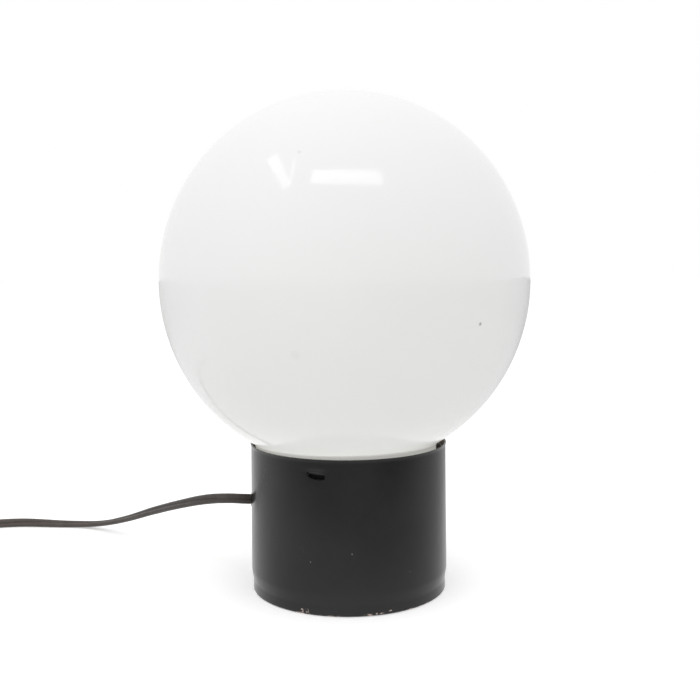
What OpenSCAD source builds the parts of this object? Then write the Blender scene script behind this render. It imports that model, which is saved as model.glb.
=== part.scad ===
// Globe table lamp: an opal glass globe standing loosely in the mouth of a short painted steel tube.
// Origin at the middle of the face the lamp stands on, +Z up, the cord leaves towards -X. Millimetres.

/* [Globe] */
// Widest width of the glass globe
globe_d = 203.2; // [190:0.1:215]
// Height the globe's ellipse would have with no neck
globe_h = 207.2; // [195:0.1:218]
// Thickness of the glass
glass_t = 2.6; // [1.8:0.1:3.5]
// Room round the glass neck where it stands in the pan
neck_room = 2.05; // [1.9:0.05:4]
// Height of the straight neck below the globe's belly
neck_h = 10.6; // [10:0.1:13]
// Length over which the neck rounds into the belly
neck_fair = 3; // [1:0.5:4]
// How far the loose globe has settled to the left
globe_settle = 1.3; // [0:0.1:1.6]

/* [Base tube] */
// Outside width of the tube
tube_d = 107.4; // [100:0.1:115]
// Height of the tube's mouth above the table
tube_h = 79.2; // [76:0.1:84]
// Thickness of the tube's wall
tube_t = 0.9; // [0.6:0.1:1.2]
// How far the mouth flares outwards
flare_out = 0.5; // [0:0.1:1]
// Height of the flared stretch
flare_h = 2.2; // [1:0.1:4]
// How far the foot end is necked in
foot_in = 0.95; // [0.5:0.05:1.2]
// Slope of the necked stretch, in degrees
foot_slope = 9.5; // [8:0.5:14]
// Height of the straight lip below it
foot_lip = 5; // [4:0.1:6]

/* [Lanced tabs] */
// Number of tabs that stake the pan
tab_n = 3; // [3:1:4]
// Width of a tab's slot
tab_w = 9.6; // [7:0.1:12]
// Height of a tab's slot
tab_h = 4.0; // [3:0.1:4.5]
// Middle of the tabs below the mouth
tab_drop = 8.5; // [8:0.1:10]
// Inward lean of a tab, in degrees
tab_lean = 28; // [20:1:30]
// Turn of the first tab from +X, in degrees
tab_turn = -108; // [-120:1:-90]

/* [Pans and felt] */
// Sheet thickness of both pans
pan_t = 0.9; // [0.6:0.1:1.2]
// Globe pan's floor, top side, below the tube's mouth
pan_drop = 12.3; // [11.5:0.1:13]
// Height of the globe pan's wall above its floor
pan_wall_h = 8.6; // [8:0.1:9]
// Width of the globe pan's raised middle, which carries the lampholder
plateau_d = 73.4; // [60:0.1:78]
// Height of that raised middle
plateau_h = 3; // [2:0.1:4]
// Thickness of the soft ring under the glass
gasket_t = 1.5; // [1:0.1:2]
// Width of the soft ring's band
gasket_w = 6.6; // [6:0.1:8]
// Thickness of the felt pad
felt_t = 1.5; // [1:0.1:2.5]
// How far the felt stands proud of the tube's end
felt_proud = 0.3; // [0.1:0.1:0.6]
// Gap between the felt pad's edge and the tube's lip
felt_gap = 1.35; // [0.8:0.05:4]
// Height of the bottom pan's rim above its floor's underside
bottom_pan_h = 7.5; // [6:0.1:9]

/* [Lampholder] */
// Outside width of the holder's shell
shell_d = 32.8; // [32.6:0.1:35]
// Thickness of the brass shell and cap
shell_t = 0.5; // [0.4:0.05:0.7]
// Height of the cap's hub
hub_h = 8.6; // [7:0.1:10]
// Height from the hub to the cap's flat shoulder
dome_h = 8; // [6:0.1:10]
// Height of the cap's rim above its shoulder
cap_rim_h = 4.5; // [3:0.1:6]
// Height of the shell above the cap's shoulder
shell_h = 37; // [34:0.1:40]
// Thickness of the insulating sleeve
sleeve_t = 0.6; // [0.4:0.1:0.8]
// Height of the moulded body under the screw shell
body_h = 13; // [11:0.1:15]
// Thread width of the bulb's base
base_d = 26.5; // [26.2:0.1:26.8]
// Sheet thickness of the screw shell
screw_t = 0.4; // [0.3:0.05:0.6]
// Height of the screw shell
screw_h = 21; // [19:0.1:22]

/* [Nipple and nut] */
// Outside width of the threaded nipple
nipple_d = 10.2; // [9.5:0.1:10.5]
// Bore of the nipple
nipple_bore = 7; // [6:0.1:7.4]
// Length of the nipple
nipple_l = 19; // [17:0.5:22]
// Width of the locknut across its flats
nut_af = 14.3; // [13:0.1:16]
// Height of the locknut
nut_h = 4.2; // [3:0.1:5]
// Width of the washer
washer_d = 19; // [16:0.5:24]
// Thickness of the washer
washer_t = 1; // [0.6:0.1:1.5]

/* [Bulb] */
// Widest width of the bulb
bulb_d = 60; // [50:0.5:64]
// Whole length of the bulb, contact to crown
bulb_l = 108; // [100:0.5:112]
// Thickness of the bulb's glass
bulb_t = 0.8; // [0.6:0.1:1.2]
// Width of the bulb's neck inside its base
bulb_neck_d = 25.2; // [24.6:0.1:25.4]
// Height of the bulb's metal shell
bulb_shell_h = 20.8; // [19:0.1:22]

/* [Cord] */
// Width of the flat two-core cord
cord_w = 5.4; // [5:0.1:6]
// Thickness of the flat cord
cord_t = 2.7; // [2.5:0.1:3]
// Height of the cord's hole above the table
exit_z = 47; // [44:0.5:50]
// Width of the bushing's flange
bushing_d = 8.6; // [8:0.1:10]
// Thickness of the bushing's flange
bushing_t = 0.7; // [0.5:0.1:1]
// Distance from the middle of the put-away coil to the middle of its turns
coil_r = 32.4; // [29:0.1:33]
// Turns in one layer of the coil, out of 360
coil_layer_turns = 3.04; // [2.54:0.5:3.54]
// Gap between neighbouring turns
coil_gap = 0.7; // [0.6:0.1:1]
// Thickness of the coil's tie
tie_t = 0.7; // [0.5:0.1:1]
// Width of the coil's tie
tie_w = 3.6; // [3:0.1:5]

/* [Cord switch] */
// Length of the switch between its cord ends
switch_l = 62; // [60:0.5:70]
// Width of the switch
switch_w = 24; // [23:0.5:26]
// Height of each half of the switch
switch_half = 7; // [6.6:0.1:8]
// Wall of the switch's halves
switch_wall = 2; // [1.6:0.1:2.2]
// Width of the switch's wheel
wheel_d = 23; // [22:0.5:24]
// Thickness of the switch's wheel
wheel_t = 5; // [4:0.1:5.4]
// How far the wheel stands out of the switch's side
wheel_out = 3.8; // [3:0.1:4.5]

/* [Plug] */
// Length of the plug's body
plug_l = 28; // [26:0.5:32]
// Width of the plug's body
plug_w = 22; // [20:0.5:24]
// Thickness of the plug's body
plug_t = 12.5; // [11:0.1:14]
// Distance between the blades
blade_pitch = 12.7; // [11.5:0.1:13.5]
// Length of a blade outside the body
blade_l = 17; // [15:0.1:18]
// Width of a blade
blade_w = 6.35; // [6:0.05:6.6]
// Thickness of a blade
blade_t = 1.5; // [1.4:0.05:1.6]

/* [Hidden] */
$fn = 96;

// Clearances
slip = 0.05;      // a piece pushed into another
loose = 0.3;      // pieces that lie beside each other
running = 0.08;   // a turning piece on its pin
seated = 0.2;     // a piece of another body over its seat
over = 1;         // how far a cut runs past what it cuts

tube_r = tube_d / 2;
tube_in = tube_r - tube_t;
foot_z = felt_proud;
pan_z = tube_h - pan_drop;
seat_z = pan_z + plateau_h;
plateau_r = plateau_d / 2;
pan_r = tube_in - slip;
pan_corner = 2.4;
neck_r = pan_r - pan_t - neck_room;
neck_z = pan_z + gasket_t + seated;

// The flare is a round arc, and the foot a round bend, a cone and a lip that opens a little again
flare_bend = (flare_out * flare_out + flare_h * flare_h) / (2 * max(flare_out, 0.01));
foot_bend = 12;
foot_bend_h = foot_bend * sin(foot_slope);
foot_open = 0.12;
function sag(bend, run) = bend - sqrt(bend * bend - run * run);
foot_cone_h = (foot_in - sag(foot_bend, foot_bend_h)) / tan(foot_slope);
waist_z = foot_z + foot_lip;
foot_top = waist_z + foot_cone_h + foot_bend_h;
function foot_drop(z) = let (d = foot_top - z)
    d < foot_bend_h ? sag(foot_bend, max(0, d))
        : sag(foot_bend, foot_bend_h) + (min(d, foot_top - waist_z) - foot_bend_h) * tan(foot_slope);
arc_n = 8;

// The tube's wall line from the foot to the mouth, pulled in by t
function tube_line(t) = concat(
    [[tube_r - t - foot_in + foot_open, foot_z], [tube_r - t - foot_in, waist_z]],
    [for (i = [0:arc_n / 2]) let (z = foot_top - foot_bend_h * (1 - 2 * i / arc_n))
        [tube_r - t - foot_drop(z), z]],
    [for (i = [0:arc_n]) let (run = flare_h * i / arc_n)
        [tube_r - t + (flare_out > 0 ? sag(flare_bend, run) : 0), tube_h - flare_h + run]]);
function reversed(list) = [for (i = [len(list) - 1:-1:0]) list[i]];

// Points of an ellipse arc about the height mid, from one angle to another
function arc_points(a, b, mid, from, to, n) =
    [for (i = [0:n]) let (t = from + (to - from) * i / n) [a * cos(t), mid + b * sin(t)]];

// Sweeps: unit vectors, a section's ring, and the closed skin over a list of rings
function unit(v) = v / norm(v);
// A flat cord's section: straight sides with half of an n-sided round at each end
function section(w, h, n) = [for (i = [0:n - 1])
    let (a = n == 6 ? 60 * i : 360 * (i + 0.5) / n, r = h / 2 / cos(180 / n))
    [r * cos(a) + (cos(a) > 0 ? 1 : -1) * (w - h) / 2, r * sin(a)]];
function ring(p, along, roll, w, h, n) =
    let (side = unit(cross(along, [0, 0, 1])), rise = cross(side, along),
        wide = side * cos(roll) + rise * sin(roll), thin = rise * cos(roll) - side * sin(roll))
    [for (q = section(w, h, n)) p + wide * q[0] + thin * q[1]];
function along_at(route, i) = let (last = len(route) - 1, here = [for (k = [0:2]) route[i][k]],
    a = i > 0 ? [for (k = [0:2]) route[i - 1][k]] : here,
    b = i < last ? [for (k = [0:2]) route[i + 1][k]] : here) unit(b - a);
function route_rings(route, w, h, n) = [for (i = [0:len(route) - 1])
    ring([for (k = [0:2]) route[i][k]], along_at(route, i), route[i][3], w, h, n)];
module skin(rings) {
    n = len(rings[0]);
    m = len(rings);
    sides = [for (i = [0:m - 2], j = [0:n - 1]) let (a = i * n + j, b = i * n + (j + 1) % n)
        each [[a, b, b + n], [a, b + n, a + n]]];
    first = [for (j = [1:n - 2]) [0, j + 1, j]];
    last = [for (j = [1:n - 2]) [(m - 1) * n, (m - 1) * n + j, (m - 1) * n + j + 1]];
    polyhedron(points = [for (r = rings) each r], faces = concat(sides, first, last));
}
module swept(route, w, h, n) { skin(route_rings(route, w, h, n)); }
module tube_shape(r_out, r_in, z0, z1) {
    translate([0, 0, z0]) difference() {
        cylinder(r = r_out, h = z1 - z0);
        translate([0, 0, -over]) cylinder(r = r_in, h = z1 - z0 + 2 * over);
    }
}

// Globe: an ellipse that rounds into a straight neck with a rounded lip

globe_a = globe_d / 2;
globe_b = globe_h / 2;
globe_mid_z = neck_z + neck_h + globe_b * sin(acos(neck_r / globe_a));
lip_r = glass_t / 2;
belly_n = 32;
// A face of the glass pulled in by t, from the crown to where the bend of length l ends on the neck
function glass_line(t, l) =
    let (a = globe_a - t, b = globe_b - t, r = neck_r - t, low = -acos(r / a),
        belly = arc_points(a, b, globe_mid_z, 90, low + l / a * 180 / PI, belly_n),
        corner = [r, globe_mid_z + b * sin(low)], from = belly[belly_n], to = corner - [0, l])
    concat(belly, [for (i = [1:6]) let (u = i / 6)
        (1 - u) * (1 - u) * from + 2 * u * (1 - u) * corner + u * u * to]);
module globe() {
    lip = [for (i = [0:6]) let (t = -180 * i / 6)
        [neck_r - lip_r + lip_r * cos(t), neck_z + lip_r + lip_r * sin(t)]];
    color([0.93, 0.93, 0.92, 0.6]) translate([-globe_settle, 0, 0])
        rotate_extrude() polygon(concat(glass_line(0, neck_fair), lip,
            reversed(glass_line(glass_t, neck_fair + lip_r))));
}
module globe_gasket() {
    outside = pan_r - pan_corner - slip;
    color("dimgray") tube_shape(outside, outside - gasket_w, pan_z, pan_z + gasket_t);
}

// Base tube, with a slot and an inward tab at each stake

tab_z = tube_h - tab_drop;
hinge_z = tab_z + tab_h / 2;
bushing_r = bushing_d / 2;
barrel_r = bushing_r - 0.6;
module at_tabs() {
    for (i = [0:tab_n - 1]) rotate([0, 0, tab_turn + 360 * i / tab_n]) children();
}
// The slot's slanted eye, with its top edge on the hinge, as seen from outside
function eye(w, h) = [[-0.49 * w, -0.28 * h], [-0.36 * w, 0], [0.23 * w, 0], [0.5 * w, -0.4 * h],
    [0.48 * w, -0.85 * h], [0.27 * w, -h], [-0.22 * w, -0.82 * h], [-0.46 * w, -0.52 * h]];
module eye_cutter(w, h) {
    translate([tube_in - over, 0, hinge_z]) rotate([90, 0, 90])
        linear_extrude(tube_t + 2 * over) polygon(eye(w, h));
}
// The tongue is the wall's own metal, leaned in about the slot's top edge
module tab_tongue() {
    side_gap = 0.7;
    root = 0.05;
    translate([tube_r - root, 0, hinge_z + root]) rotate([0, tab_lean, 0]) translate([-tube_r, 0, -hinge_z])
        intersection() {
            tube_shape(tube_r, tube_in, hinge_z - tab_h - over, hinge_z);
            eye_cutter(tab_w - side_gap, tab_h - side_gap / 2);
        }
}
module base_tube() {
    color([0.12, 0.12, 0.125]) {
        difference() {
            rotate_extrude() polygon(concat(tube_line(0), reversed(tube_line(tube_t))));
            at_tabs() eye_cutter(tab_w, tab_h);
            translate([-tube_in + over, 0, exit_z]) rotate([0, -90, 0])
                cylinder(r = barrel_r + slip, h = tube_t + 2 * over);
        }
        at_tabs() tab_tongue();
    }
}

// Globe pan: floor, rounded corner and wall up against the tube, slotted for the tabs

module globe_pan() {
    low = pan_z - pan_t;
    hole = nipple_d / 2 + slip;
    wall_top = pan_z + pan_wall_h;
    out_arc = arc_points(pan_corner, pan_corner, low + pan_corner, -90, 0, 6);
    in_arc = arc_points(pan_corner - pan_t, pan_corner - pan_t, low + pan_corner, 0, -90, 6);
    slot_w = tab_w + 2 * loose;
    slot_low = tab_z - tab_h / 2 - loose;
    color([0.22, 0.2, 0.18]) difference() {
        rotate_extrude() polygon(concat([[hole, seat_z - pan_t], [plateau_r - pan_t, seat_z - pan_t],
            [plateau_r - pan_t, low]], [for (p = out_arc) [pan_r - pan_corner + p[0], p[1]]],
            [[pan_r, wall_top], [pan_r - pan_t, wall_top]],
            [for (p = in_arc) [pan_r - pan_corner + p[0], p[1]]],
            [[plateau_r, pan_z], [plateau_r, seat_z], [hole, seat_z]]));
        at_tabs() translate([pan_r - pan_t - over, -slot_w / 2, slot_low])
            cube([pan_t + 2 * over, slot_w, tab_h + 2 * loose]);
    }
}

// Bottom pan: dropped in from above, its rim wedged in the necked foot

module bottom_pan() {
    rim_z = felt_t + bottom_pan_h;
    rim_r = tube_in - foot_drop(rim_z - pan_t) - slip;
    floor_r = rim_r - 2.6;
    rise_r = rim_r - 1.1;
    color([0.22, 0.2, 0.18]) rotate_extrude() polygon([[0, felt_t], [floor_r, felt_t],
        [rise_r, felt_t + 2.2], [rise_r, rim_z - pan_t], [rim_r, rim_z - pan_t], [rim_r, rim_z],
        [rise_r - pan_t, rim_z], [rise_r - pan_t, felt_t + 2.6], [floor_r - 0.4, felt_t + pan_t],
        [0, felt_t + pan_t]]);
}
module felt_pad() {
    color([0.08, 0.1, 0.09]) cylinder(r = tube_in - foot_in - felt_gap, h = felt_t);
}

// Cord entry: a snap-in bushing with a bore for the flat cord standing on edge

bore_loose = 0.2;
module flat_bore(l) {
    w = cord_w + 2 * bore_loose;
    t = cord_t + 2 * bore_loose;
    for (side = [-1, 1]) translate([side * (w - t) / 2, 0, 0]) cylinder(d = t, h = l);
    translate([-(w - t) / 2, -t / 2, 0]) cube([w - t, t, l]);
}
bushing_l = 4.4;
module cord_bushing() {
    lip_l = 1.4;
    lip_x = tube_in - 1.6;
    color([0.1, 0.09, 0.08]) difference() {
        union() {
            difference() {
                translate([-tube_r - bushing_t, 0, exit_z]) rotate([0, 90, 0])
                    cylinder(r = bushing_r, h = bushing_t + 0.4);
                cylinder(r = tube_r, h = tube_h);
            }
            translate([-tube_r - bushing_t, 0, exit_z]) rotate([0, 90, 0])
                cylinder(r = barrel_r, h = bushing_l);
            translate([-lip_x - lip_l / 2, 0, exit_z]) rotate([0, 90, 0])
                cylinder(r = bushing_r - 0.2, h = lip_l);
        }
        translate([-tube_r - bushing_t - over, 0, exit_z]) rotate([0, 90, 0])
            flat_bore(bushing_l + 2 * over);
    }
}
clip_x = -tube_r - bushing_t + bushing_l;
clip_l = 4;
module cord_clip() {
    clip_t = 0.8;
    color("silver") translate([clip_x, 0, exit_z]) rotate([0, 90, 0]) difference() {
        translate([-cord_w / 2 - clip_t, -cord_t / 2 - clip_t, 0])
            cube([cord_w + 2 * clip_t, cord_t + 2 * clip_t, clip_l]);
        translate([-cord_w / 2 - slip, -cord_t / 2 - slip, -over])
            cube([cord_w + 2 * slip, cord_t + 2 * slip, clip_l + 2 * over]);
    }
}

// Inside cord: on edge through the bushing, turned flat where its cores part

lead_d = cord_t - 0.1;
lead_y = cord_w / 4;
lead_bend = 15;
split_x = -lead_bend - 9;
nipple_z = seat_z + hub_h + 1 - nipple_l;
lead_z = nipple_z + 1.5 - lead_bend;
shoulder_z = seat_z + hub_h + dome_h;
module cord_inner() {
    start = -tube_r - bushing_t;
    straight = clip_x + clip_l + 2;
    route = concat([[start, 0, exit_z, 90], [straight, 0, exit_z, 90]],
        [for (i = [1:4]) let (t = i / 5) [straight + (split_x - straight) * t, 0,
            exit_z + (lead_z - exit_z) * (3 - 2 * t) * t * t, 90 - 90 * t]],
        [[split_x, 0, lead_z, 0]]);
    color([0.25, 0.18, 0.14]) swept(route, cord_w, cord_t, 8);
}
// A core from the split, round the bend, up through the nipple and out to its terminal
terminal_z = shoulder_z + 7;
head_r = 3;
recess_y = 10.6;
lead_end_y = recess_y + 0.4 + lead_d / 2;
function lead_route(side) = concat([[split_x, side * lead_y, lead_z, 0]],
    [for (i = [0:6]) let (a = 15 * i)
        [-lead_bend + lead_bend * sin(a), side * lead_y, lead_z + lead_bend * (1 - cos(a)), 0]],
    [[0, side * lead_y, nipple_z + nipple_l + 0.6, 0]],
    [for (i = [1:5]) let (t = i / 5, low = nipple_z + nipple_l + 0.6, high = terminal_z - head_r)
        [0, side * (lead_y + (lead_end_y - lead_y) * (1 - cos(180 * t)) / 2),
            low + (high - low) * t, 0]]);
// Rings of a core: its side vector stays along X where the core climbs
function lead_rings(side) = let (route = lead_route(side)) [for (i = [0:len(route) - 1])
    let (p = [for (k = [0:2]) route[i][k]], along = i == len(route) - 1 ? [0, 0, 1] : along_at(route, i),
        across = abs(along[0]) > 0.01 ? [0, 1, 0] : [-1, 0, 0], up = cross(across, along),
        turn = abs(along[0]) > 0.01 ? 0 : 90)
    [for (q = section(lead_d, lead_d, 8)) let (a = atan2(q[1], q[0]) - turn)
        p + (across * cos(a) + up * sin(a)) * norm(q)]];
module lead_hot() { color([0.2, 0.15, 0.12]) skin(lead_rings(1)); }
module lead_neutral() { color([0.2, 0.15, 0.12]) skin(lead_rings(-1)); }

// Nipple through the pan, held from below by a washer and a locknut

module nipple() {
    color("goldenrod") tube_shape(nipple_d / 2, nipple_bore / 2, nipple_z, nipple_z + nipple_l);
}
module locknut() {
    top = seat_z - pan_t - washer_t;
    color("silver") translate([0, 0, top - nut_h]) difference() {
        cylinder(d = nut_af / cos(30), h = nut_h, $fn = 6);
        translate([0, 0, -over]) cylinder(d = nipple_d + 2 * slip, h = nut_h + 2 * over);
    }
}
module lock_washer() {
    color("silver") tube_shape(washer_d / 2, nipple_d / 2 + slip, seat_z - pan_t - washer_t,
        seat_z - pan_t);
}

// Lampholder: cap, shell, sleeve, moulded body, screw shell and centre contact

shell_r = shell_d / 2;
hub_r = nipple_d / 2 + 1.7;
cap_screw_r = 1.5;
module socket_cap() {
    bore = nipple_d / 2 + slip;
    rim_in = shell_r + slip;
    rim_out = rim_in + shell_t;
    hub_z = seat_z + hub_h;
    flat_r = hub_r + 4.6;
    color([0.75, 0.6, 0.3]) difference() {
        rotate_extrude() polygon([[bore, seat_z], [hub_r, seat_z], [hub_r, hub_z],
            [flat_r, shoulder_z - shell_t - 1.6], [flat_r + 1.8, shoulder_z - shell_t],
            [rim_out, shoulder_z - shell_t], [rim_out, shoulder_z + cap_rim_h],
            [rim_in, shoulder_z + cap_rim_h], [rim_in, shoulder_z], [flat_r + 1.4, shoulder_z],
            [flat_r - 0.5, shoulder_z - 1.6], [hub_r - 0.6, hub_z + 1], [bore, hub_z + 1]]);
        translate([0, 0, seat_z + hub_h / 2]) rotate([0, 90, 0])
            cylinder(r = cap_screw_r + slip, h = hub_r + over);
    }
}
module cap_screw() {
    screw_l = hub_r - nipple_d / 2 + 2;
    head_l = 1.6;
    color("silver") translate([nipple_d / 2 + slip, 0, seat_z + hub_h / 2]) rotate([0, 90, 0]) {
        difference() {
            union() {
                cylinder(r = cap_screw_r, h = screw_l);
                translate([0, 0, screw_l - head_l]) cylinder(r = cap_screw_r + 1, h = head_l);
            }
            translate([-cap_screw_r - 2, -0.3, screw_l - 0.7]) cube([2 * cap_screw_r + 4, 0.6, 2]);
        }
    }
}
module socket_shell() {
    top = shoulder_z + shell_h;
    lip = 0.8;
    color([0.75, 0.6, 0.3]) rotate_extrude() polygon([[shell_r - shell_t, shoulder_z],
        [shell_r, shoulder_z], [shell_r, top - lip], [shell_r - lip, top],
        [shell_r - lip - shell_t, top], [shell_r - shell_t, top - lip]]);
}
sleeve_out = shell_r - shell_t - 0.1;
sleeve_in = sleeve_out - sleeve_t;
module shell_sleeve() {
    color([0.55, 0.48, 0.38]) tube_shape(sleeve_out, sleeve_in, shoulder_z, shoulder_z + shell_h - 2);
}
body_top = shoulder_z + body_h;
recess_w = 9;
recess_h = 11;
screw_bore_r = 1.5;
screw_bore_l = 6;
tunnel_h = 3.9;
module socket_body() {
    body_r = sleeve_in - 0.1;
    well_r = 7;
    well_h = 8;
    color([0.2, 0.13, 0.09]) difference() {
        translate([0, 0, shoulder_z]) cylinder(r = body_r, h = body_h);
        translate([0, 0, shoulder_z - over]) cylinder(r = well_r, h = well_h + over);
        translate([-lead_d, -body_r - over, shoulder_z - over])
            cube([2 * lead_d, 2 * (body_r + over), tunnel_h + over]);
        for (side = [-1, 1]) {
            translate([-recess_w / 2, side > 0 ? recess_y : -body_r - over, shoulder_z - over])
                cube([recess_w, body_r - recess_y + over, recess_h + over]);
            translate([0, 0, terminal_z]) rotate([-90 * side, 0, 0])
                translate([0, 0, recess_y - screw_bore_l])
                cylinder(r = screw_bore_r + slip, h = screw_bore_l + over);
        }
    }
}
module terminal_screws() {
    head_h = 1.8;
    color("gold") for (side = [-1, 1])
        translate([0, 0, terminal_z]) rotate([-90 * side, 0, 0])
        translate([0, 0, recess_y - screw_bore_l + 0.5]) {
            cylinder(r = screw_bore_r, h = screw_bore_l);
            translate([0, 0, screw_bore_l - 0.5]) difference() {
                cylinder(r = head_r, h = head_h);
                translate([-head_r - 1, -0.4, head_h - 0.7]) cube([2 * head_r + 2, 0.8, 1]);
            }
        }
}
screw_in = base_d / 2 + running;
module screw_shell() {
    floor_in = 7;
    lip_r = screw_in + 1.5;
    top = body_top + screw_h;
    color("gainsboro") rotate_extrude() polygon([[floor_in, body_top], [screw_in + screw_t, body_top],
        [screw_in + screw_t, top - screw_t], [lip_r, top - screw_t], [lip_r, top], [screw_in, top],
        [screw_in, body_top + screw_t], [floor_in, body_top + screw_t]]);
}
contact_rise = 1.5;
contact_t = 0.4;
module centre_contact() {
    contact_w = 4.6;
    half_l = 6;
    color("goldenrod") translate([0, contact_w / 2, body_top]) rotate([90, 0, 0])
        linear_extrude(contact_w) polygon([[-half_l, 0], [-3, 0], [-1.2, contact_rise - contact_t],
            [1.2, contact_rise - contact_t], [2.6, 0.5], [3, 0.8], [1.5, contact_rise],
            [-1.5, contact_rise], [-3.2, contact_t], [-half_l, contact_t]]);
}

// Bulb: contact tip, glass insulator, metal shell and pear-shaped glass with its mount inside

tip_z = body_top + contact_rise + loose;
tip_h = 0.7;
tip_r = 4.5;
insulator_h = 3.4;
bulb_shell_z = tip_z + tip_h + insulator_h;
bulb_shell_r = base_d / 2;
bulb_shell_t = 0.35;
module bulb_tip() {
    color("silver") translate([0, 0, tip_z]) cylinder(r1 = tip_r - 0.9, r2 = tip_r, h = tip_h);
}
module bulb_insulator() {
    plug_r = bulb_shell_r - bulb_shell_t - slip;
    color([0.05, 0.05, 0.06]) translate([0, 0, tip_z + tip_h]) rotate_extrude()
        polygon([[0, 0], [tip_r + 0.3, 0], [plug_r - 0.6, insulator_h - 0.7], [plug_r, insulator_h],
            [plug_r, insulator_h + 1.6], [0, insulator_h + 1.6]]);
}
module bulb_shell() {
    color("gainsboro") tube_shape(bulb_shell_r, bulb_shell_r - bulb_shell_t, bulb_shell_z,
        bulb_shell_z + bulb_shell_h);
}
bulb_mid_z = tip_z + bulb_l - bulb_d / 2;
bulb_neck_r = bulb_neck_d / 2;
glass_low = bulb_shell_z + bulb_shell_h - 6;
glass_out_z = bulb_shell_z + bulb_shell_h + 0.8;
// Half the bulb's outline: straight neck, a smooth swell, then a round crown
function bulb_line(t) = concat([[bulb_neck_r - t, glass_low]],
    [for (i = [0:24]) let (u = i / 24) [bulb_neck_r - t + (bulb_d / 2 - bulb_neck_r)
        * (1 - cos(180 * u)) / 2, glass_out_z + (bulb_mid_z - glass_out_z) * u]],
    [for (i = [1:24]) let (a = 90 * i / 24)
        [(bulb_d / 2 - t) * cos(a), bulb_mid_z + (bulb_d / 2 - t) * sin(a)]]);
module bulb_glass() {
    color([0.95, 0.95, 0.95, 0.5]) rotate_extrude()
        polygon(concat(bulb_line(0), reversed(bulb_line(bulb_t))));
}
stem_z = glass_low + 1.4;
stem_h = 34;
stem_top = stem_z + stem_h;
stem_r = 3.2;
module bulb_stem() {
    flare_r = bulb_neck_r - bulb_t - slip;
    color([0.85, 0.9, 0.92, 0.6]) translate([0, 0, stem_z]) rotate_extrude()
        polygon([[0, 0], [flare_r, 0], [flare_r, 1], [stem_r + 1.5, 4], [stem_r, 9],
            [stem_r, stem_h - 2], [stem_r - 1, stem_h], [0, stem_h]]);
}
filament_r = 9;
filament_z = stem_top + 12;
wire_r = 0.4;
wire_root = 2;
module filament_wires() {
    foot = stem_top + 0.1;
    color("silver") for (side = [-1, 1])
        swept([[side * wire_root, 0, foot, 0], [side * (wire_root + 0.5), 0, foot + 2, 0],
            [side * filament_r, 0, filament_z, 0]], 2 * wire_r, 2 * wire_r, 8);
}
module filament() {
    coil_wire_r = 0.45;
    color("dimgray") translate([0, 0, filament_z + coil_wire_r + 0.25])
        rotate_extrude(angle = 180) translate([filament_r, 0]) circle(r = coil_wire_r, $fn = 24);
}

// Cord outside: route points with the roll of the wide side, then a coil worked out by a loop

face_x = switch_l / 2 - 7.5;
coil_low = cord_w / 2 + tie_t + 0.3;
run_end_y = 57;
run_route = [[-54.4, 0, 47, 90], [-60, 0, 47, 90], [-66.5, 3.6, 46.2, 84], [-77, 14, 43.5, 76],
    [-87.5, 25, 40, 68], [-97.5, 36.5, 35.5, 60], [-107, 48, 31, 52], [-116, 59, 26.5, 42],
    [-125, 69.5, 22, 33], [-134, 80, 17, 24], [-142.5, 90, 12.5, 15], [-151.5, 99, 8.5, 8],
    [-161, 107, 5, 2], [-171.5, 113.5, 2.5, -6], [-183, 116.5, 1.9, -18], [-195, 116.5, 2.2, -32],
    [-207, 116.5, 2.5, -48], [-219, 116.5, 2.7, -64], [-231, 115.5, 2.8, -78],
    [-243, 113, 2.8, -88], [-254.5, 108.5, 2.8, -96], [-265, 101.5, 2.9, -106],
    [-273.5, 92, 3.4, -122], [-279.5, 81, 4.8, -142], [-282.5, 69, 6.6, -168],
    [-283, 62, 7, -180], [-283, run_end_y - switch_l / 2 + face_x, 7, -180]];
mid_route = [[-283, run_end_y - switch_l / 2 - face_x, 7, 180], [-283, run_end_y - switch_l - 5, 7, 180],
    [-283, -21, 5.9, 164], [-283, -32, 4.4, 136], [-283, -45, coil_low, 105], [-283, -54.5, coil_low, 90]];
tail_points = [[-221, -25.5, 9.3, 80], [-227, -14.5, 7.9, 50], [-230.9, -3, 6.5, 15],
    [-232.7, 3.7, 6.25, 0], [-234, 8.5, 6.25, 0]];

coil_pitch = cord_t + coil_gap;
coil_layer = cord_w + 1.1;
coil_out = coil_r + coil_pitch * coil_layer_turns / 2;
coil_in = coil_out - coil_pitch * (coil_layer_turns + 0.25);
coil_x = mid_route[5][0] + coil_out;
coil_y = mid_route[5][1];
coil_turns = 2 * coil_layer_turns + 0.5;
coil_n = round(24 * coil_turns);
// In at a steady rate, a climb of half a turn about the place where it turns back, then out again
function coil_at(u) = let (turn = u * coil_turns, a = 180 + 360 * turn,
    climb = min(1, max(0, (turn - coil_layer_turns) / 0.5)),
    r = coil_in + coil_pitch * abs(turn - coil_layer_turns - 0.25),
    z = coil_low + coil_layer * (1 - cos(180 * climb)) / 2)
    [coil_x + r * cos(a), coil_y + r * sin(a), z, 90];
coil_points = [for (i = [0:coil_n]) coil_at(i / coil_n)];
coil_end_a = 180 + 360 * coil_turns;
coil_rings = [for (i = [0:coil_n])
    let (a = 180 + 360 * coil_turns * i / coil_n, along = i == 0 || i == coil_n
        ? [-sin(a), cos(a), 0] : along_at(coil_points, i))
    ring([for (k = [0:2]) coil_points[i][k]], along, 90, cord_w, cord_t, 6)];
coil_least = min([for (i = [0:coil_n - 14], j = [i + 14:coil_n])
    if (norm(coil_points[i] - coil_points[j]) < 1.6 * cord_w)
        min([for (p = coil_rings[i], q = coil_rings[j]) norm(p - q)])]);
echo(coil_least_gap = coil_least, coil_turns = coil_turns);
coil_end = coil_at(1);
tail_route = concat([coil_end, coil_end + cord_w * [-sin(coil_end_a), cos(coil_end_a), 0, 0]], tail_points);
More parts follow.
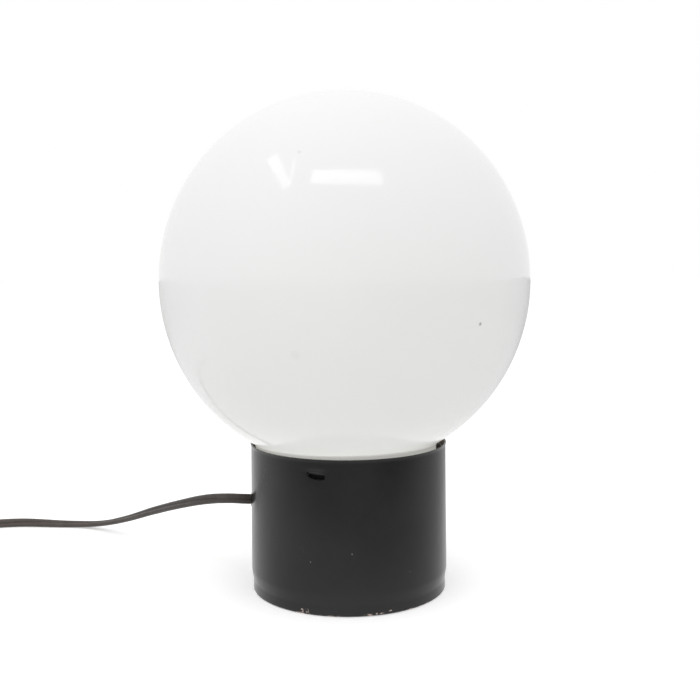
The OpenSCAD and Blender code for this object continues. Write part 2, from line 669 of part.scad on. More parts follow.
function route_l(route) = let (p = [for (r = route) [r[0], r[1], r[2]]])
    [for (i = 0, s = 0; i < len(p) - 1; s = s + norm(p[i + 1] - p[i]), i = i + 1) s + norm(p[i + 1] - p[i])];
function last_of(list) = list[len(list) - 1];
echo(cord_length = last_of(route_l(run_route)) + 2 * face_x + last_of(route_l(mid_route))
    + last_of(route_l(coil_points)) + last_of(route_l(tail_route)));
module cord_run() { color([0.25, 0.18, 0.14]) swept(run_route, cord_w, cord_t, 8); }
module cord_mid() { color([0.25, 0.18, 0.14]) swept(mid_route, cord_w, cord_t, 8); }
module cord_coil() { color([0.25, 0.18, 0.14]) skin(coil_rings); }
module cord_tail() { color([0.25, 0.18, 0.14]) swept(tail_route, cord_w, cord_t, 8); }
module coil_tie() {
    in_w = coil_out - coil_in + cord_t + 0.4;
    in_h = coil_layer + 2 * (coil_low - tie_t);
    color("black") translate([coil_x, coil_y, 0]) rotate([0, 0, 250])
        translate([(coil_out + coil_in) / 2, 0, 0]) difference() {
            translate([-in_w / 2 - tie_t, -tie_w / 2, 0]) cube([in_w + 2 * tie_t, tie_w, in_h + 2 * tie_t]);
            translate([-in_w / 2, -tie_w / 2 - over, tie_t])
                cube([in_w, tie_w + 2 * over, in_h]);
        }
}

// Switch on the cord: two halves, a wheel on a post, contacts, cores and a screw

switch_x = run_route[26][0];
switch_y = run_end_y - switch_l / 2;
snout_l = 2;
end_r = switch_w / 2;
end_x = switch_l / 2 - snout_l - end_r;
wheel_x = 6;
wheel_r = wheel_d / 2;
wheel_y = end_r + wheel_out - wheel_r;
post_r = 2;
boss_x = -end_x;
switch_gap = 0.3;
module at_switch() { translate([switch_x, switch_y, 0]) rotate([0, 0, -90]) children(); }
module stadium(inset, h) {
    for (side = [-1, 1]) translate([side * end_x, 0, 0]) cylinder(r = end_r - inset, h = h);
    translate([-end_x, -end_r + inset, 0]) cube([2 * end_x, 2 * (end_r - inset), h]);
}
module wheel_room() {
    translate([wheel_x, wheel_y, switch_half - wheel_t / 2 - switch_gap])
        cylinder(r = wheel_r + 0.6, h = wheel_t + 2 * switch_gap);
}
snout_w = cord_w + 3;
snout_h = cord_t + 2.4;
module snouts() {
    for (side = [-1, 1]) translate([side * (switch_l / 2 - 3) - 3, -snout_w / 2, switch_half - snout_h / 2])
        cube([6, snout_w, snout_h]);
}
module cord_slots() {
    w = cord_w + 2 * slip;
    h = cord_t + 2 * slip;
    reach = switch_l / 2 - face_x + over;
    for (side = [-1, 1]) translate([side * switch_l / 2 - reach, -w / 2, switch_half - h / 2])
        cube([2 * reach, w, h]);
}
module switch_base() {
    color([0.22, 0.16, 0.13]) at_switch() {
        difference() {
            union() {
                difference() {
                    stadium(0, switch_half);
                    translate([0, 0, switch_wall]) stadium(switch_wall, switch_half);
                }
                intersection() {
                    snouts();
                    translate([-switch_l, -switch_w, 0]) cube([2 * switch_l, 2 * switch_w, switch_half]);
                }
                translate([boss_x, 0, switch_wall]) cylinder(r = 3, h = switch_half - switch_wall);
                translate([wheel_x, wheel_y, switch_wall])
                    cylinder(r = 4, h = switch_half - switch_wall - wheel_t / 2 - switch_gap);
            }
            wheel_room();
            cord_slots();
            translate([boss_x, 0, -over]) cylinder(r = 1.25 + slip, h = switch_half + 2 * over);
            translate([boss_x, 0, -over]) cylinder(r = 2.7, h = 1.6 + over);
        }
        translate([wheel_x, wheel_y, switch_wall])
            cylinder(r = post_r, h = 2 * switch_half - 2 * switch_wall - 0.6);
    }
}
module switch_cover() {
    boss_low = switch_half + wheel_t / 2 + switch_gap;
    color([0.22, 0.16, 0.13]) at_switch() difference() {
        union() {
            difference() {
                translate([0, 0, switch_half]) stadium(0, switch_half);
                translate([0, 0, switch_half - over])
                    stadium(switch_wall, switch_half - switch_wall + over);
            }
            intersection() {
                snouts();
                translate([-switch_l, -switch_w, switch_half])
                    cube([2 * switch_l, 2 * switch_w, switch_half]);
            }
            translate([boss_x, 0, switch_half]) cylinder(r = 3, h = switch_half - switch_wall);
            translate([wheel_x, wheel_y, boss_low])
                cylinder(r = 4, h = 2 * switch_half - switch_wall - boss_low);
        }
        wheel_room();
        cord_slots();
        translate([boss_x, 0, switch_half - over]) cylinder(r = 1.25 + slip, h = 4 + over);
        translate([wheel_x, wheel_y, switch_half])
            cylinder(r = post_r + running, h = switch_half - switch_wall - 0.3);
    }
}
module switch_wheel() {
    ribs = 36;
    color([0.16, 0.12, 0.1]) at_switch() translate([wheel_x, wheel_y, switch_half - wheel_t / 2])
        difference() {
            cylinder(r = wheel_r, h = wheel_t);
            translate([0, 0, -over]) cylinder(r = post_r + running, h = wheel_t + 2 * over);
            for (i = [0:ribs - 1]) rotate([0, 0, 360 * i / ribs]) translate([wheel_r + 0.2, 0, -over])
                cylinder(r = 0.6, h = wheel_t + 2 * over, $fn = 16);
        }
}
contact_y = 4.4;
module switch_contacts() {
    strip_h = 4.5;
    color("goldenrod") at_switch() {
        translate([boss_x + 4.5, contact_y, switch_wall]) cube([4.6, 0.6, strip_h]);
        translate([end_x + 3.6, 0.4, switch_wall]) cube([0.6, 4.6, strip_h]);
    }
}
// The uncut core runs past the wheel, the cut one ends at the two contacts
core_d = 2.2;
core_y = -end_r + switch_wall + core_d / 2 + 0.1;
half_core = cord_w / 4;
around_wheel = [[-face_x, -half_core], [-face_x + 1, -half_core], [-face_x + 3, -3.6],
    [-face_x + 8, core_y + 0.6], [-face_x + 12, core_y]];
core_paths = [
    concat(around_wheel, [for (p = reversed(around_wheel)) [-p[0], p[1]]]),
    [[-face_x, half_core], [-face_x + 1, half_core], [-face_x + 3, 4], [-face_x + 7, contact_y + 2],
        [boss_x + 6, contact_y + 2], [boss_x + 8, contact_y + 2]],
    [[face_x, half_core], [face_x - 1, half_core], [end_x + 4.4, half_core + 0.15]]];
module switch_leads() {
    color([0.25, 0.18, 0.14]) at_switch() for (path = core_paths)
        swept([for (p = path) [p[0], p[1], switch_half, 0]], core_d, core_d, 8);
}
module switch_screw() {
    color("silver") at_switch() translate([boss_x, 0, 0]) difference() {
        union() {
            translate([0, 0, 0.3]) cylinder(r = 2.5, h = 1.2);
            translate([0, 0, 1.4]) cylinder(r = 1.25, h = switch_half + 1.5);
        }
        translate([-3, -0.35, -0.1]) cube([6, 0.7, 0.9]);
    }
}

// Plug: a flat body lying on its side, with two flat blades

plug_turn = 105;
plug_at = tail_points[4];
blade_root = 6;
module at_plug() { translate([plug_at[0], plug_at[1], 0]) rotate([0, 0, plug_turn]) children(); }
module blade_solid(grow) {
    for (side = [-1, 1]) translate([plug_l - blade_root, side * blade_pitch / 2 - blade_t / 2 - grow,
            plug_t / 2 - blade_w / 2 - grow])
        cube([blade_root + blade_l, blade_t + 2 * grow, blade_w + 2 * grow]);
}
module plug_body() {
    wide = plug_w / 2;
    mid = plug_t / 2;
    nose_w = cord_w / 2 + 1.6;
    nose_t = cord_t / 2 + 2.4;
    color([0.22, 0.16, 0.13]) at_plug() difference() {
        intersection() {
            linear_extrude(plug_t) polygon([[0, -nose_w], [8, -nose_w - 1], [14, -wide + 1], [17, -wide],
                [plug_l - 1.5, -wide], [plug_l, -wide + 1.5], [plug_l, wide - 1.5], [plug_l - 1.5, wide],
                [17, wide], [14, wide - 1], [8, nose_w + 1], [0, nose_w]]);
            translate([0, plug_w, 0]) rotate([90, 0, 0]) linear_extrude(2 * plug_w)
                polygon([[0, mid - nose_t], [12, 0], [plug_l - 1, 0], [plug_l, 1], [plug_l, plug_t - 1],
                    [plug_l - 1, plug_t], [12, plug_t], [0, mid + nose_t]]);
        }
        blade_solid(slip);
    }
}
module plug_blades() {
    hole_r = 1.6;
    color("goldenrod") at_plug() difference() {
        blade_solid(0);
        translate([plug_l + blade_l - 4.5, -plug_w, plug_t / 2]) rotate([-90, 0, 0])
            cylinder(r = hole_r, h = 2 * plug_w);
    }
}

globe();
globe_gasket();
base_tube();
globe_pan();
bottom_pan();
felt_pad();
cord_bushing();
cord_clip();
cord_inner();
lead_hot();
lead_neutral();
nipple();
locknut();
lock_washer();
socket_cap();
cap_screw();
socket_shell();
shell_sleeve();
socket_body();
screw_shell();
centre_contact();
terminal_screws();
bulb_tip();
bulb_insulator();
bulb_shell();
bulb_glass();
bulb_stem();
filament_wires();
filament();
switch_base();
switch_cover();
switch_wheel();
switch_contacts();
switch_leads();
switch_screw();
cord_run();
cord_mid();
cord_coil();
cord_tail();
coil_tie();
plug_body();
plug_blades();
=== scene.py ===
"""Globe table lamp: an opal glass globe in the mouth of a black painted tube, with a flat brown cord.

Metres, in the part's own frame: +Z up, the origin under the middle of the felt, the cord towards -X.
"""

from math import acos, cos, pi, radians, sin, sqrt, tan

import bpy
import numpy as np
from mathutils import Matrix, Vector


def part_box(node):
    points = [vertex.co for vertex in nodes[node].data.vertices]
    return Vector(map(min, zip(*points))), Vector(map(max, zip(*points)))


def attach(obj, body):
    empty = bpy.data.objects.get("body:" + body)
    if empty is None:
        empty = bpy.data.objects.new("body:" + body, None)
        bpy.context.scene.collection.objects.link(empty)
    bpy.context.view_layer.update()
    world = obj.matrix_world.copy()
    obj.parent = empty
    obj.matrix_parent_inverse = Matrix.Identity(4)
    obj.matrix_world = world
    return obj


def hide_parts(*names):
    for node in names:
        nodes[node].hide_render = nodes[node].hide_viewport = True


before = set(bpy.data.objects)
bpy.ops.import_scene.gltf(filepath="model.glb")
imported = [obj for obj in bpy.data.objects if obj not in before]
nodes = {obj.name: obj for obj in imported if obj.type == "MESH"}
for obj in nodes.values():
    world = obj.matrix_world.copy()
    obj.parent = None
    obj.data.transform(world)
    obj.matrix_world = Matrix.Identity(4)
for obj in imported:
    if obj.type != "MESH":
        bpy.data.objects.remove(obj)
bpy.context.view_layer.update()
mm = 0.001

# Camera. It stands half a metre in front of the lamp, level, and a little rolled. The shift lowers the
# view so that the lamp's foot and the whole globe are both in it.
camera_data = bpy.data.cameras.new("camera")
camera_data.lens = 50.87
camera_data.sensor_width = 36
camera_data.shift_y = -0.1366
camera = bpy.data.objects.new("camera", camera_data)
camera.location = (0.00174, -0.5494, 0.1824)
camera.rotation_euler = (radians(90), radians(0.45), 0)
bpy.context.scene.collection.objects.link(camera)
bpy.context.scene.camera = camera
bpy.context.scene.view_settings.view_transform = "Standard"

# Floor, backdrop and lamps. The floor is a wide white sheet that runs into a white room: what the camera
# or a gloss sees of both is lifted to plain white, and the object keeps its shadow on the floor. In a gloss
# the floor is brightest beside the lamp, and dimmer in front, where nothing lights it, and far away.
floor_half = 6.0
floor_colour = (0.93, 0.93, 0.93, 1)
floor_lift = 0.33
room_glow = 0.80
white = (1, 1, 1, 1)
# The floor in a gloss: two places along an axis, or two distances, in metres, and the light at each.
mirrored_in_front = (-0.30, 0.0, 0.46, 1.02)
mirrored_to_the_right = (0.0, 0.25, 1.0, 0.74)
mirrored_far_off = (0.35, 0.9, 1.0, 0.64)


def put(kind, tree=None, **given):
    """Adds a shader node to a tree, or else to the tree of an output among its values. A lower-case keyword
    sets a property, and a capital one a socket, by its name with _ for a space or, as In0 or In1, by its
    number, to a value or to another node's output."""
    outputs = [value for value in given.values() if isinstance(value, bpy.types.NodeSocket)]
    tree = tree or outputs[0].id_data
    node = tree.nodes.new("ShaderNode" + kind)
    for key, value in given.items():
        if key[0].islower():
            setattr(node, key, value)
            continue
        socket = node.inputs[int(key[2:])] if key[2:].isdigit() else node.inputs[key.replace("_", " ")]
        if isinstance(value, bpy.types.NodeSocket):
            tree.links.new(value, socket)
        else:
            socket.default_value = value
    return node


def calc(operation, *values):
    """One sum of its values."""
    return put("Math", operation=operation, **{f"In{n}": value for n, value in enumerate(values)}).outputs[0]


def ranged(value, low, high, to_low=0.0, to_high=1.0):
    """A value carried from one range to another and held at its ends."""
    return put("MapRange", Value=value, From_Min=low, From_Max=high, To_Min=to_low, To_Max=to_high).outputs[0]


def seen_directly(tree):
    """1 on a ray from the camera, a gloss or clear glass, and 0 on a ray that only carries light."""
    path = put("LightPath", tree).outputs
    return calc("MAXIMUM", calc("MAXIMUM", path["Is Camera Ray"], path["Is Glossy Ray"]),
                path["Is Transmission Ray"])


def soft_lamp(name, at, aim, width, height, watts, upright=(0, 0, 1), mirrored=True):
    """An area lamp at one point whose face looks at another, its height along upright. One that isn't
    mirrored lights the object through a scrim, and leaves no bright shape in a gloss."""
    data = bpy.data.lights.new(name, "AREA")
    data.shape = "RECTANGLE"
    data.size, data.size_y = width, height
    data.energy = watts
    lamp = bpy.data.objects.new(name, data)
    lamp.location = at
    back = (Vector(at) - Vector(aim)).normalized()
    side = Vector(upright).cross(back).normalized()
    lamp.rotation_euler = Matrix((side, back.cross(side), back)).transposed().to_euler()
    lamp.visible_camera = False
    lamp.visible_glossy = mirrored
    bpy.context.scene.collection.objects.link(lamp)


def emptied(holder):
    """The node tree of a material or a world, with nothing in it."""
    holder.use_nodes = True
    holder.node_tree.nodes.clear()
    return holder.node_tree


world = bpy.data.worlds.new("white_room")
bpy.context.scene.world = world
room_light = ranged(seen_directly(emptied(world)), 0, 1, room_glow)
put("OutputWorld", Surface=put("Background", Color=white, Strength=room_light).outputs[0])

floor_material = bpy.data.materials.new("white_floor")
tree = emptied(floor_material)
matt = put("BsdfDiffuse", tree, Color=floor_colour)
lifted = put("Emission", Color=white, Strength=calc("MULTIPLY", seen_directly(tree), floor_lift))
both = put("AddShader", In0=matt.outputs[0], In1=lifted.outputs[0])
on_floor = put("TexCoord", tree).outputs["Object"]
axes = put("SeparateXYZ", Vector=on_floor).outputs
distance = put("VectorMath", operation="LENGTH", In0=on_floor).outputs["Value"]
mirrored_light = ranged(axes["Y"], *mirrored_in_front)
for along, change in ((axes["X"], mirrored_to_the_right), (distance, mirrored_far_off)):
    mirrored_light = calc("MULTIPLY", mirrored_light, ranged(along, *change))
plain = put("Emission", Color=white, Strength=mirrored_light)
in_a_gloss = put("LightPath", tree).outputs["Is Glossy Ray"]
shown = put("MixShader", In0=in_a_gloss, In1=both.outputs[0], In2=plain.outputs[0])
put("OutputMaterial", Surface=shown.outputs[0])
floor_mesh = bpy.data.meshes.new("floor")
corners = ((-1, -1), (1, -1), (1, 1), (-1, 1))
floor_mesh.from_pydata([(x * floor_half, y * floor_half, 0) for x, y in corners], [], [(0, 1, 2, 3)])
floor_mesh.materials.append(floor_material)
floor = bpy.data.objects.new("floor", floor_mesh)
bpy.context.scene.collection.objects.link(floor)

# A lamp overhead and one at the left light the object. The others are what the glass mirrors: three strips
# in a row on a plane that leans back, a bent arm of two pieces, and a thin stand.
lit_at = (0, 0, 0.17)
strip_w, strip_h, strip_watts = 0.215, 0.165, 0.52
strip_y, strip_z = -0.57, 1.045
lean_y, lean_z = 0.83, 0.54
soft_lamp("overhead", (0.3, 0.1, 1.5), (0, 0, 0.15), 1.4, 1.4, 3.0, (0, 1, 0), mirrored=False)
soft_lamp("left_fill", (-1.2, -0.4, 0.5), lit_at, 0.9, 0.9, 1.2, mirrored=False)
for name, x, rise, tilt in (("strip_left", -0.185, 0.026, 0.19), ("strip_middle", 0.03, 0, 0),
                            ("strip_right", 0.245, 0.026, -0.19)):
    soft_lamp(name, (x, strip_y + lean_y * rise, strip_z + lean_z * rise), (x, *lit_at[1:]), strip_w, strip_h,
              strip_watts, (tilt, lean_y, lean_z))
soft_lamp("left_arm", (-0.535, -0.296, 1.03), lit_at, 0.085, 0.46, 0.42, (0.05, -0.44, -0.11))
soft_lamp("right_arm", (-0.439, -0.372, 1.072), lit_at, 0.022, 0.31, 0.08, (-0.09, -0.27, -0.145))
soft_lamp("stand", (-0.55, -0.7, 0.74), lit_at, 0.012, 0.55, 0.024, (-0.07, -0.35, -0.47))

# Cord. Flat two-core cord: brown vinyl drawn over two stranded cores that lie side by side. It leaves the
# tube on edge, turns flat as it falls to the table in one curve, and rises on edge again on its way to the
# switch. This length is a little thicker than the rest.
cord_w = 0.0054
cord_t = 0.0027
run_t = 0.00285
cord_brown = (0.086, 0.072, 0.065)
run_route = [[-54.4, 0, 47, 90], [-60, 0, 47.2, 96], [-66.5, 3.6, 46.6, 98], [-77, 14, 43.9, 88],
             [-87.5, 25, 40.2, 72], [-97.5, 36.5, 35.8, 60], [-107, 48, 31.3, 54], [-116, 59, 26.8, 50],
             [-125, 69.5, 22.3, 46], [-134, 80, 17.5, 39], [-142.5, 90, 13.1, 30], [-151.5, 99, 9.1, 21],
             [-161, 107, 5.6, 12], [-171.5, 113.7, 3.1, 10], [-183, 117.3, 2.1, 17],
             [-195, 118, 2.2, 27], [-207, 119, 2.5, 41], [-219, 119.8, 2.7, 58],
             [-231, 118.6, 2.8, 74], [-243, 115.5, 2.8, 84], [-254.5, 110.3, 2.8, 92],
             [-265, 102.4, 2.9, 102], [-273.5, 92.3, 3.4, 116], [-279.5, 81, 4.8, 136],
             [-282.5, 69, 6.6, 162], [-283, 62, 7, 180], [-283, 49.5, 7, 180]]


def curve_between(p0, p1, p2, p3, steps):
    """Points on smooth curves from each p1 towards its p2, which lean on their neighbours p0 and p3:
    p1 + t (p2 - p0) / 2 + t^2 (2 p0 - 5 p1 + 4 p2 - p3) / 2 + t^3 (3 p1 - p0 - 3 p2 + p3) / 2."""
    t = (np.arange(steps) / steps)[None, :, None]
    return (p1 + t * (p2 - p0) / 2 + t ** 2 * (2 * p0 - 5 * p1 + 4 * p2 - p3) / 2
            + t ** 3 * (3 * p1 - p0 - 3 * p2 + p3) / 2)


def smooth_route(route, steps):
    """Points of a smooth curve through a route of x, y, z in millimetres and roll in degrees. Each end is
    drawn on in a straight line for the curve to lean on."""
    p = np.array(route, float) * [mm, mm, mm, pi / 180]
    p = np.vstack([2 * p[0] - p[1], p, 2 * p[-1] - p[-2]])
    curve = curve_between(*(p[i:len(p) - 3 + i, None] for i in range(4)), steps)
    return np.vstack([curve.reshape(-1, 4), p[-2]])


def two_lobes(width, thickness, steps):
    """Section of a flat two-core cord: round lobes of half the thickness, their middles a quarter of the
    width to each side, each an arc of 290 degrees that leaves a thin web between them."""
    a = np.radians(np.linspace(-145, 145, steps))
    right = np.stack([width / 4 + thickness / 2 * np.cos(a), thickness / 2 * np.sin(a)], 1)
    return np.vstack([right, -right])


def carried(section, path):
    """A section carried along a path with roll. At each point side = along x up, rise = side x along,
    wide = side cos(roll) + rise sin(roll), thin = rise cos(roll) - side sin(roll)."""
    along = np.gradient(path[:, :3], axis=0)
    along /= np.linalg.norm(along, axis=1)[:, None]
    side = np.cross(along, [0, 0, 1])
    side /= np.linalg.norm(side, axis=1)[:, None]
    rise = np.cross(side, along)
    c, s = np.cos(path[:, 3:]), np.sin(path[:, 3:])
    wide, thin = side * c + rise * s, rise * c - side * s
    return (path[:, None, :3] + section[None, :, :1] * wide[:, None]
            + section[None, :, 1:] * thin[:, None])


def grid_mesh(*grids, loop=False):
    """One mesh from grids of points, rows by columns. Columns close on themselves. Rows do too in a loop,
    and otherwise each end row gets a cap. Face (i, j) joins points (i, j), (i, j+1), (i+1, j+1), (i+1, j),
    the other way round where the volume, the sum of a . (b x c) / 6 over its triangles, is negative.
    UV is the share of the way round the section and the distance along the rows."""
    verts, faces, uvs, start = [], [], [], 0
    for grid in grids:
        rows, columns = grid.shape[:2]
        flat = grid.reshape(-1, 3)
        i, j = np.meshgrid(np.arange(rows if loop else rows - 1), np.arange(columns), indexing="ij")
        below, beside = (i + 1) % rows, (j + 1) % columns
        quads = np.stack([i * columns + j, i * columns + beside, below * columns + beside,
                          below * columns + j], -1).reshape(-1, 4)
        step = np.linalg.norm(np.diff(grid.mean(1), axis=0), axis=1)
        if grid.mean(1)[:, :2].std() < 1e-6:
            step = np.linalg.norm(np.diff(grid[:, 0], axis=0), axis=1)
        far = np.concatenate([[0], np.cumsum(step), [0]])
        uv = np.stack([np.stack([j, j + 1, j + 1, j], -1) / columns,
                       np.stack([far[i], far[i], far[i + 1], far[i + 1]], -1)], -1).reshape(-1, 4, 2)
        ends = [] if loop else [np.arange(columns)[::-1], (rows - 1) * columns + np.arange(columns)]
        middle = flat.mean(0)
        volume = 0.0
        for ring in [*(quads[:, [0, n, n + 1]] for n in (1, 2)),
                     *(np.stack([np.full(columns - 2, end[0]), end[1:-1], end[2:]], 1) for end in ends)]:
            a, b, c = (flat[ring[:, n]] - middle for n in range(3))
            volume += np.einsum("ij,ij->", a, np.cross(b, c)) / 6
        if volume < 0:
            quads, uv, ends = quads[:, ::-1], uv[:, ::-1], [end[::-1] for end in ends]
        verts.append(flat)
        faces += (quads + start).tolist() + [(end + start).tolist() for end in ends]
        uvs += [uv.reshape(-1, 2)] + [np.zeros((columns, 2)) for end in ends]
        start += len(flat)
    mesh = bpy.data.meshes.new("grid")
    mesh.from_pydata(np.vstack(verts), [], faces)
    mesh.uv_layers.new(name="along").data.foreach_set("uv", np.vstack(uvs).astype(np.float32).ravel())
    mesh.update()
    return mesh


def new_piece(name, mesh, material, slot, *stands_for, body="lamp", sharp=35):
    """An object for a mesh: with one material, standing for its CAD nodes, riding on a body, and smooth but
    for edges over that many degrees. The slot is not used."""
    mesh.name = name
    mesh.materials.append(material)
    mesh.shade_smooth()
    mesh.set_sharp_from_angle(angle=radians(sharp))
    piece = bpy.data.objects.new(name, mesh)
    bpy.context.scene.collection.objects.link(piece)
    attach(piece, body)
    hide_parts(*stands_for)
    return piece


def new_material(name):
    """A node material's Object coordinates, and a function that ends it with a shader."""
    material = bpy.data.materials.new(name)
    tree = emptied(material)

    def end(colour, roughness, **sockets):
        shader = put("BsdfPrincipled", tree, Base_Color=colour, Roughness=roughness, **sockets)
        put("OutputMaterial", Surface=shader.outputs[0])
        return material

    return put("TexCoord", tree).outputs["Object"], end


def noise(place, size, detail=3.0, roughness=0.5, seed=0.0, stretch=None):
    """Noise from 0 to 1 whose lumps are about that many metres across. The seed picks another patch, and a
    stretch below 1 draws the lumps out along that axis."""
    if stretch:
        place = put("Mapping", Vector=place, Scale=stretch).outputs[0]
    return put("TexNoise", noise_dimensions="4D", Vector=place, W=seed, Scale=1 / size, Detail=detail,
               Roughness=roughness).outputs[0]


def mixed(share, first, second):
    """A colour from the first to the second as the share goes from 0 to 1."""
    return put("Mix", data_type="RGBA", In0=share, In6=first, In7=second).outputs[2]


def shade(colour, by=1.0):
    """A colour of three numbers as one of four, made lighter or darker."""
    return (*(min(1.0, c * by) for c in colour), 1)


def varied(share, colour, start, end):
    """One colour, from one shade of it to another as the share goes from 0 to 1."""
    return mixed(share, shade(colour, start), shade(colour, end))


def bumped(height, depth):
    """A normal from a height of 0 to 1 that stands for that many metres."""
    return put("Bump", Height=height, Distance=depth, Strength=1.0).outputs[0]


def cord_vinyl():
    """Brown vinyl with a dull gloss: drawn lines along the cord, faint grime and light scuffs. Near the tube
    it
    is painted darker: a painted shade where the globe hangs over it."""
    place, end = new_material("cord_vinyl")
    uv = put("UVMap", place.id_data, uv_map="along").outputs[0]
    drawn = put("Mapping", Vector=uv, Scale=(60, 6, 1)).outputs[0]
    lines = put("TexNoise", Vector=drawn, Scale=1.0, Detail=2.0).outputs[0]
    grime = ranged(noise(place, 0.012, 4), 0.35, 0.7)
    # Painted shade: the cord is darker towards the tube, where the globe hangs over it.
    shade_under_globe = ranged(put("SeparateXYZ", Vector=place).outputs["X"], -190 * mm, -130 * mm)
    colour = mixed(shade_under_globe, varied(grime, cord_brown, 0.88, 1.18), shade(cord_brown, 0.62))
    gloss = ranged(noise(place, 0.004), 0.3, 0.7, 0.34, 0.5)
    return end(colour, gloss, IOR=1.5, Specular_IOR_Level=0.25, Normal=bumped(lines, 0.00006))


vinyl = cord_vinyl()
run_path = smooth_route(run_route, 6)
run_mesh = grid_mesh(carried(two_lobes(cord_w, run_t, 15), run_path))
run = new_piece("cord_run_flat", run_mesh, vinyl, "cord_vinyl", "cord_run")

# Cord past the switch. The same vinyl cord goes into a neat coil of two layers, on edge, each turn beside
# the last: in at a steady rate, up a layer in half a turn, out again, and then across the coil to the plug.
lobes = two_lobes(cord_w, cord_t, 15)
coil_low = 3.7
coil_r = 32.4
coil_pitch = 3.4
coil_layer = 6.5
coil_layer_turns = 3.04
coil_turn_steps = 48
mid_route = [[-283, 2.5, 7, 180], [-283, -10, 7, 180], [-283, -21, 5.9, 164], [-283, -32, 4.4, 136],
             [-283, -45, coil_low, 105], [-283, -54.5, coil_low, 90]]
tail_points = [[-221, -25.5, 9.3, 80], [-227, -14.5, 7.9, 50], [-230.9, -3, 6.5, 15],
               [-232.7, 3.7, 6.25, 0], [-234, 8.5, 6.25, 0]]
coil_out = coil_r + coil_pitch * coil_layer_turns / 2
coil_in = coil_out - coil_pitch * (coil_layer_turns + 0.25)
coil_turns = 2 * coil_layer_turns + 0.5
coil_x = mid_route[-1][0] + coil_out
coil_y = mid_route[-1][1]


def coil_route(turn):
    """The coil after some turns: its angle is 180 + 360 turn, its radius coil_in + pitch |turn - half|,
    and its height climbs one layer in half a turn as (1 - cos) / 2."""
    a = pi + 2 * pi * turn
    climb = np.clip((turn - coil_layer_turns) / 0.5, 0, 1)
    r = coil_in + coil_pitch * np.abs(turn - coil_layer_turns - 0.25)
    z = coil_low + coil_layer * (1 - np.cos(pi * climb)) / 2
    return np.stack([coil_x + r * np.cos(a), coil_y + r * np.sin(a), z, 90 + 0 * turn], 1)


coil_end = coil_route(np.array([coil_turns]))[0]
end_angle = pi + 2 * pi * coil_turns
leave = coil_end + np.array([-sin(end_angle), cos(end_angle), 0, 0]) * cord_w / mm
tail_path = smooth_route([coil_end, leave, *tail_points], 6)
coil_path = coil_route(np.linspace(0, coil_turns, round(coil_turn_steps * coil_turns) + 1))
coil_path = coil_path * [mm, mm, mm, pi / 180]
rest_path = np.vstack([smooth_route(mid_route, 6)[:-1], coil_path[:-1], tail_path])
rest = new_piece("cord_rest_flat", grid_mesh(carried(lobes, rest_path)), vinyl, "cord_vinyl", "cord_mid",
                 "cord_coil", "cord_tail")


# Coil tie. A strap of black woven tape that goes once round the turns of the put-away coil, tight enough to
# hold them together.
tie_t, tie_w = 0.7 * mm, 3.6 * mm
tie_turn = radians(250)
tie_corner = 2.2 * mm
tape_black = (0.018, 0.018, 0.019)


def round_rectangle(half_w, half_h, corner, steps=7):
    """Outline of a rectangle with round corners: a quarter arc about each of four points."""
    a = np.linspace(0, pi / 2, steps)
    turn = np.concatenate([a + i * pi / 2 for i in range(4)])
    sign = np.repeat([[1, 1], [-1, 1], [-1, -1], [1, -1]], steps, 0)
    return sign * [half_w - corner, half_h - corner] + corner * np.stack([np.cos(turn), np.sin(turn)], 1)


def strap_grid():
    """The strap's thin section carried round the bundle: each row is a line at its own depth under the
    outer face, and at its own place across the tape."""
    half_w = ((coil_out - coil_in) * mm + cord_t + 0.4 * mm) / 2 + tie_t
    half_h = (coil_layer + 2 * coil_low) / 2 * mm
    edge, side = 0.2 * mm, tie_w / 2
    depths = [0, 0, edge, tie_t - edge, tie_t, tie_t, tie_t - edge, edge]
    places = [edge - side, side - edge, side, side, side - edge, edge - side, -side, -side]
    rings = np.stack([round_rectangle(half_w - d, half_h - d, tie_corner - d) for d in depths])
    across = (coil_out + coil_in) / 2 * mm + rings[..., 0]
    along = np.array(places)[:, None]
    c, s = cos(tie_turn), sin(tie_turn)
    return np.stack([coil_x * mm + across * c - along * s, coil_y * mm + across * s + along * c,
                     half_h + rings[..., 1]], -1)


def woven_tape(name, colour):
    """Dull tape with fine crossed threads that stand up about a tenth of a millimetre."""
    place, end = new_material(name)
    threads = put("TexWave", Vector=place, Scale=1 / 0.0028, Distortion=1.5).outputs["Fac"]
    crossed = put("TexWave", bands_direction="Z", Vector=place, Scale=1 / 0.0028).outputs["Fac"]
    weave = calc("MULTIPLY", threads, crossed)
    return end(varied(weave, colour, 0.6, 1.6), 0.85, Normal=bumped(weave, 0.0001))


tie = new_piece("coil_strap", grid_mesh(strap_grid(), loop=True), woven_tape("black_tape", tape_black),
                "tie_plastic", "coil_tie")

# Switch halves. Two shells of brown plastic, moulded with a snout for the cord at each end and held
# together by one screw from below. They meet half way up, and leave a gap in one side for the wheel.
switch_x, switch_y = -283.0, 26.0
end_r, end_x = 12.0, 17.0
switch_half, switch_wall = 7.0, 2.0
switch_corner, floor_inset = 2.4, 11.6
snout_from, snout_to = 25.0, 31.0
snout_w, snout_h = 8.4, 5.1
slot_w, slot_h, slot_l = 2.75, 1.4, 17.0
slot_starts = (22.5, -39.5)
screw_hole_r, screw_head_r, screw_head_h = 1.3, 2.7, 1.6
play = 0.08
wheel_x, wheel_y, wheel_r, wheel_t = 6.0, 4.3, 11.5, 5.0
boss_x = -end_x
post_r = 2.0
switch_brown = (0.034, 0.022, 0.017)


def at_switch(points):
    """Points given along, across and above the switch, in millimetres from under its middle."""
    return np.stack([switch_x + points[..., 1], switch_y - points[..., 0], points[..., 2]], -1) * mm


def round_turn(steps):
    """Angles of a whole turn, the last a step short of the first."""
    return np.linspace(0, 2 * pi, steps, endpoint=False)


def polar(r, a, z):
    """Points at a radius, an angle and a height: (r cos a, r sin a, z)."""
    return np.stack(np.broadcast_arrays(r * np.cos(a), r * np.sin(a), z), -1)


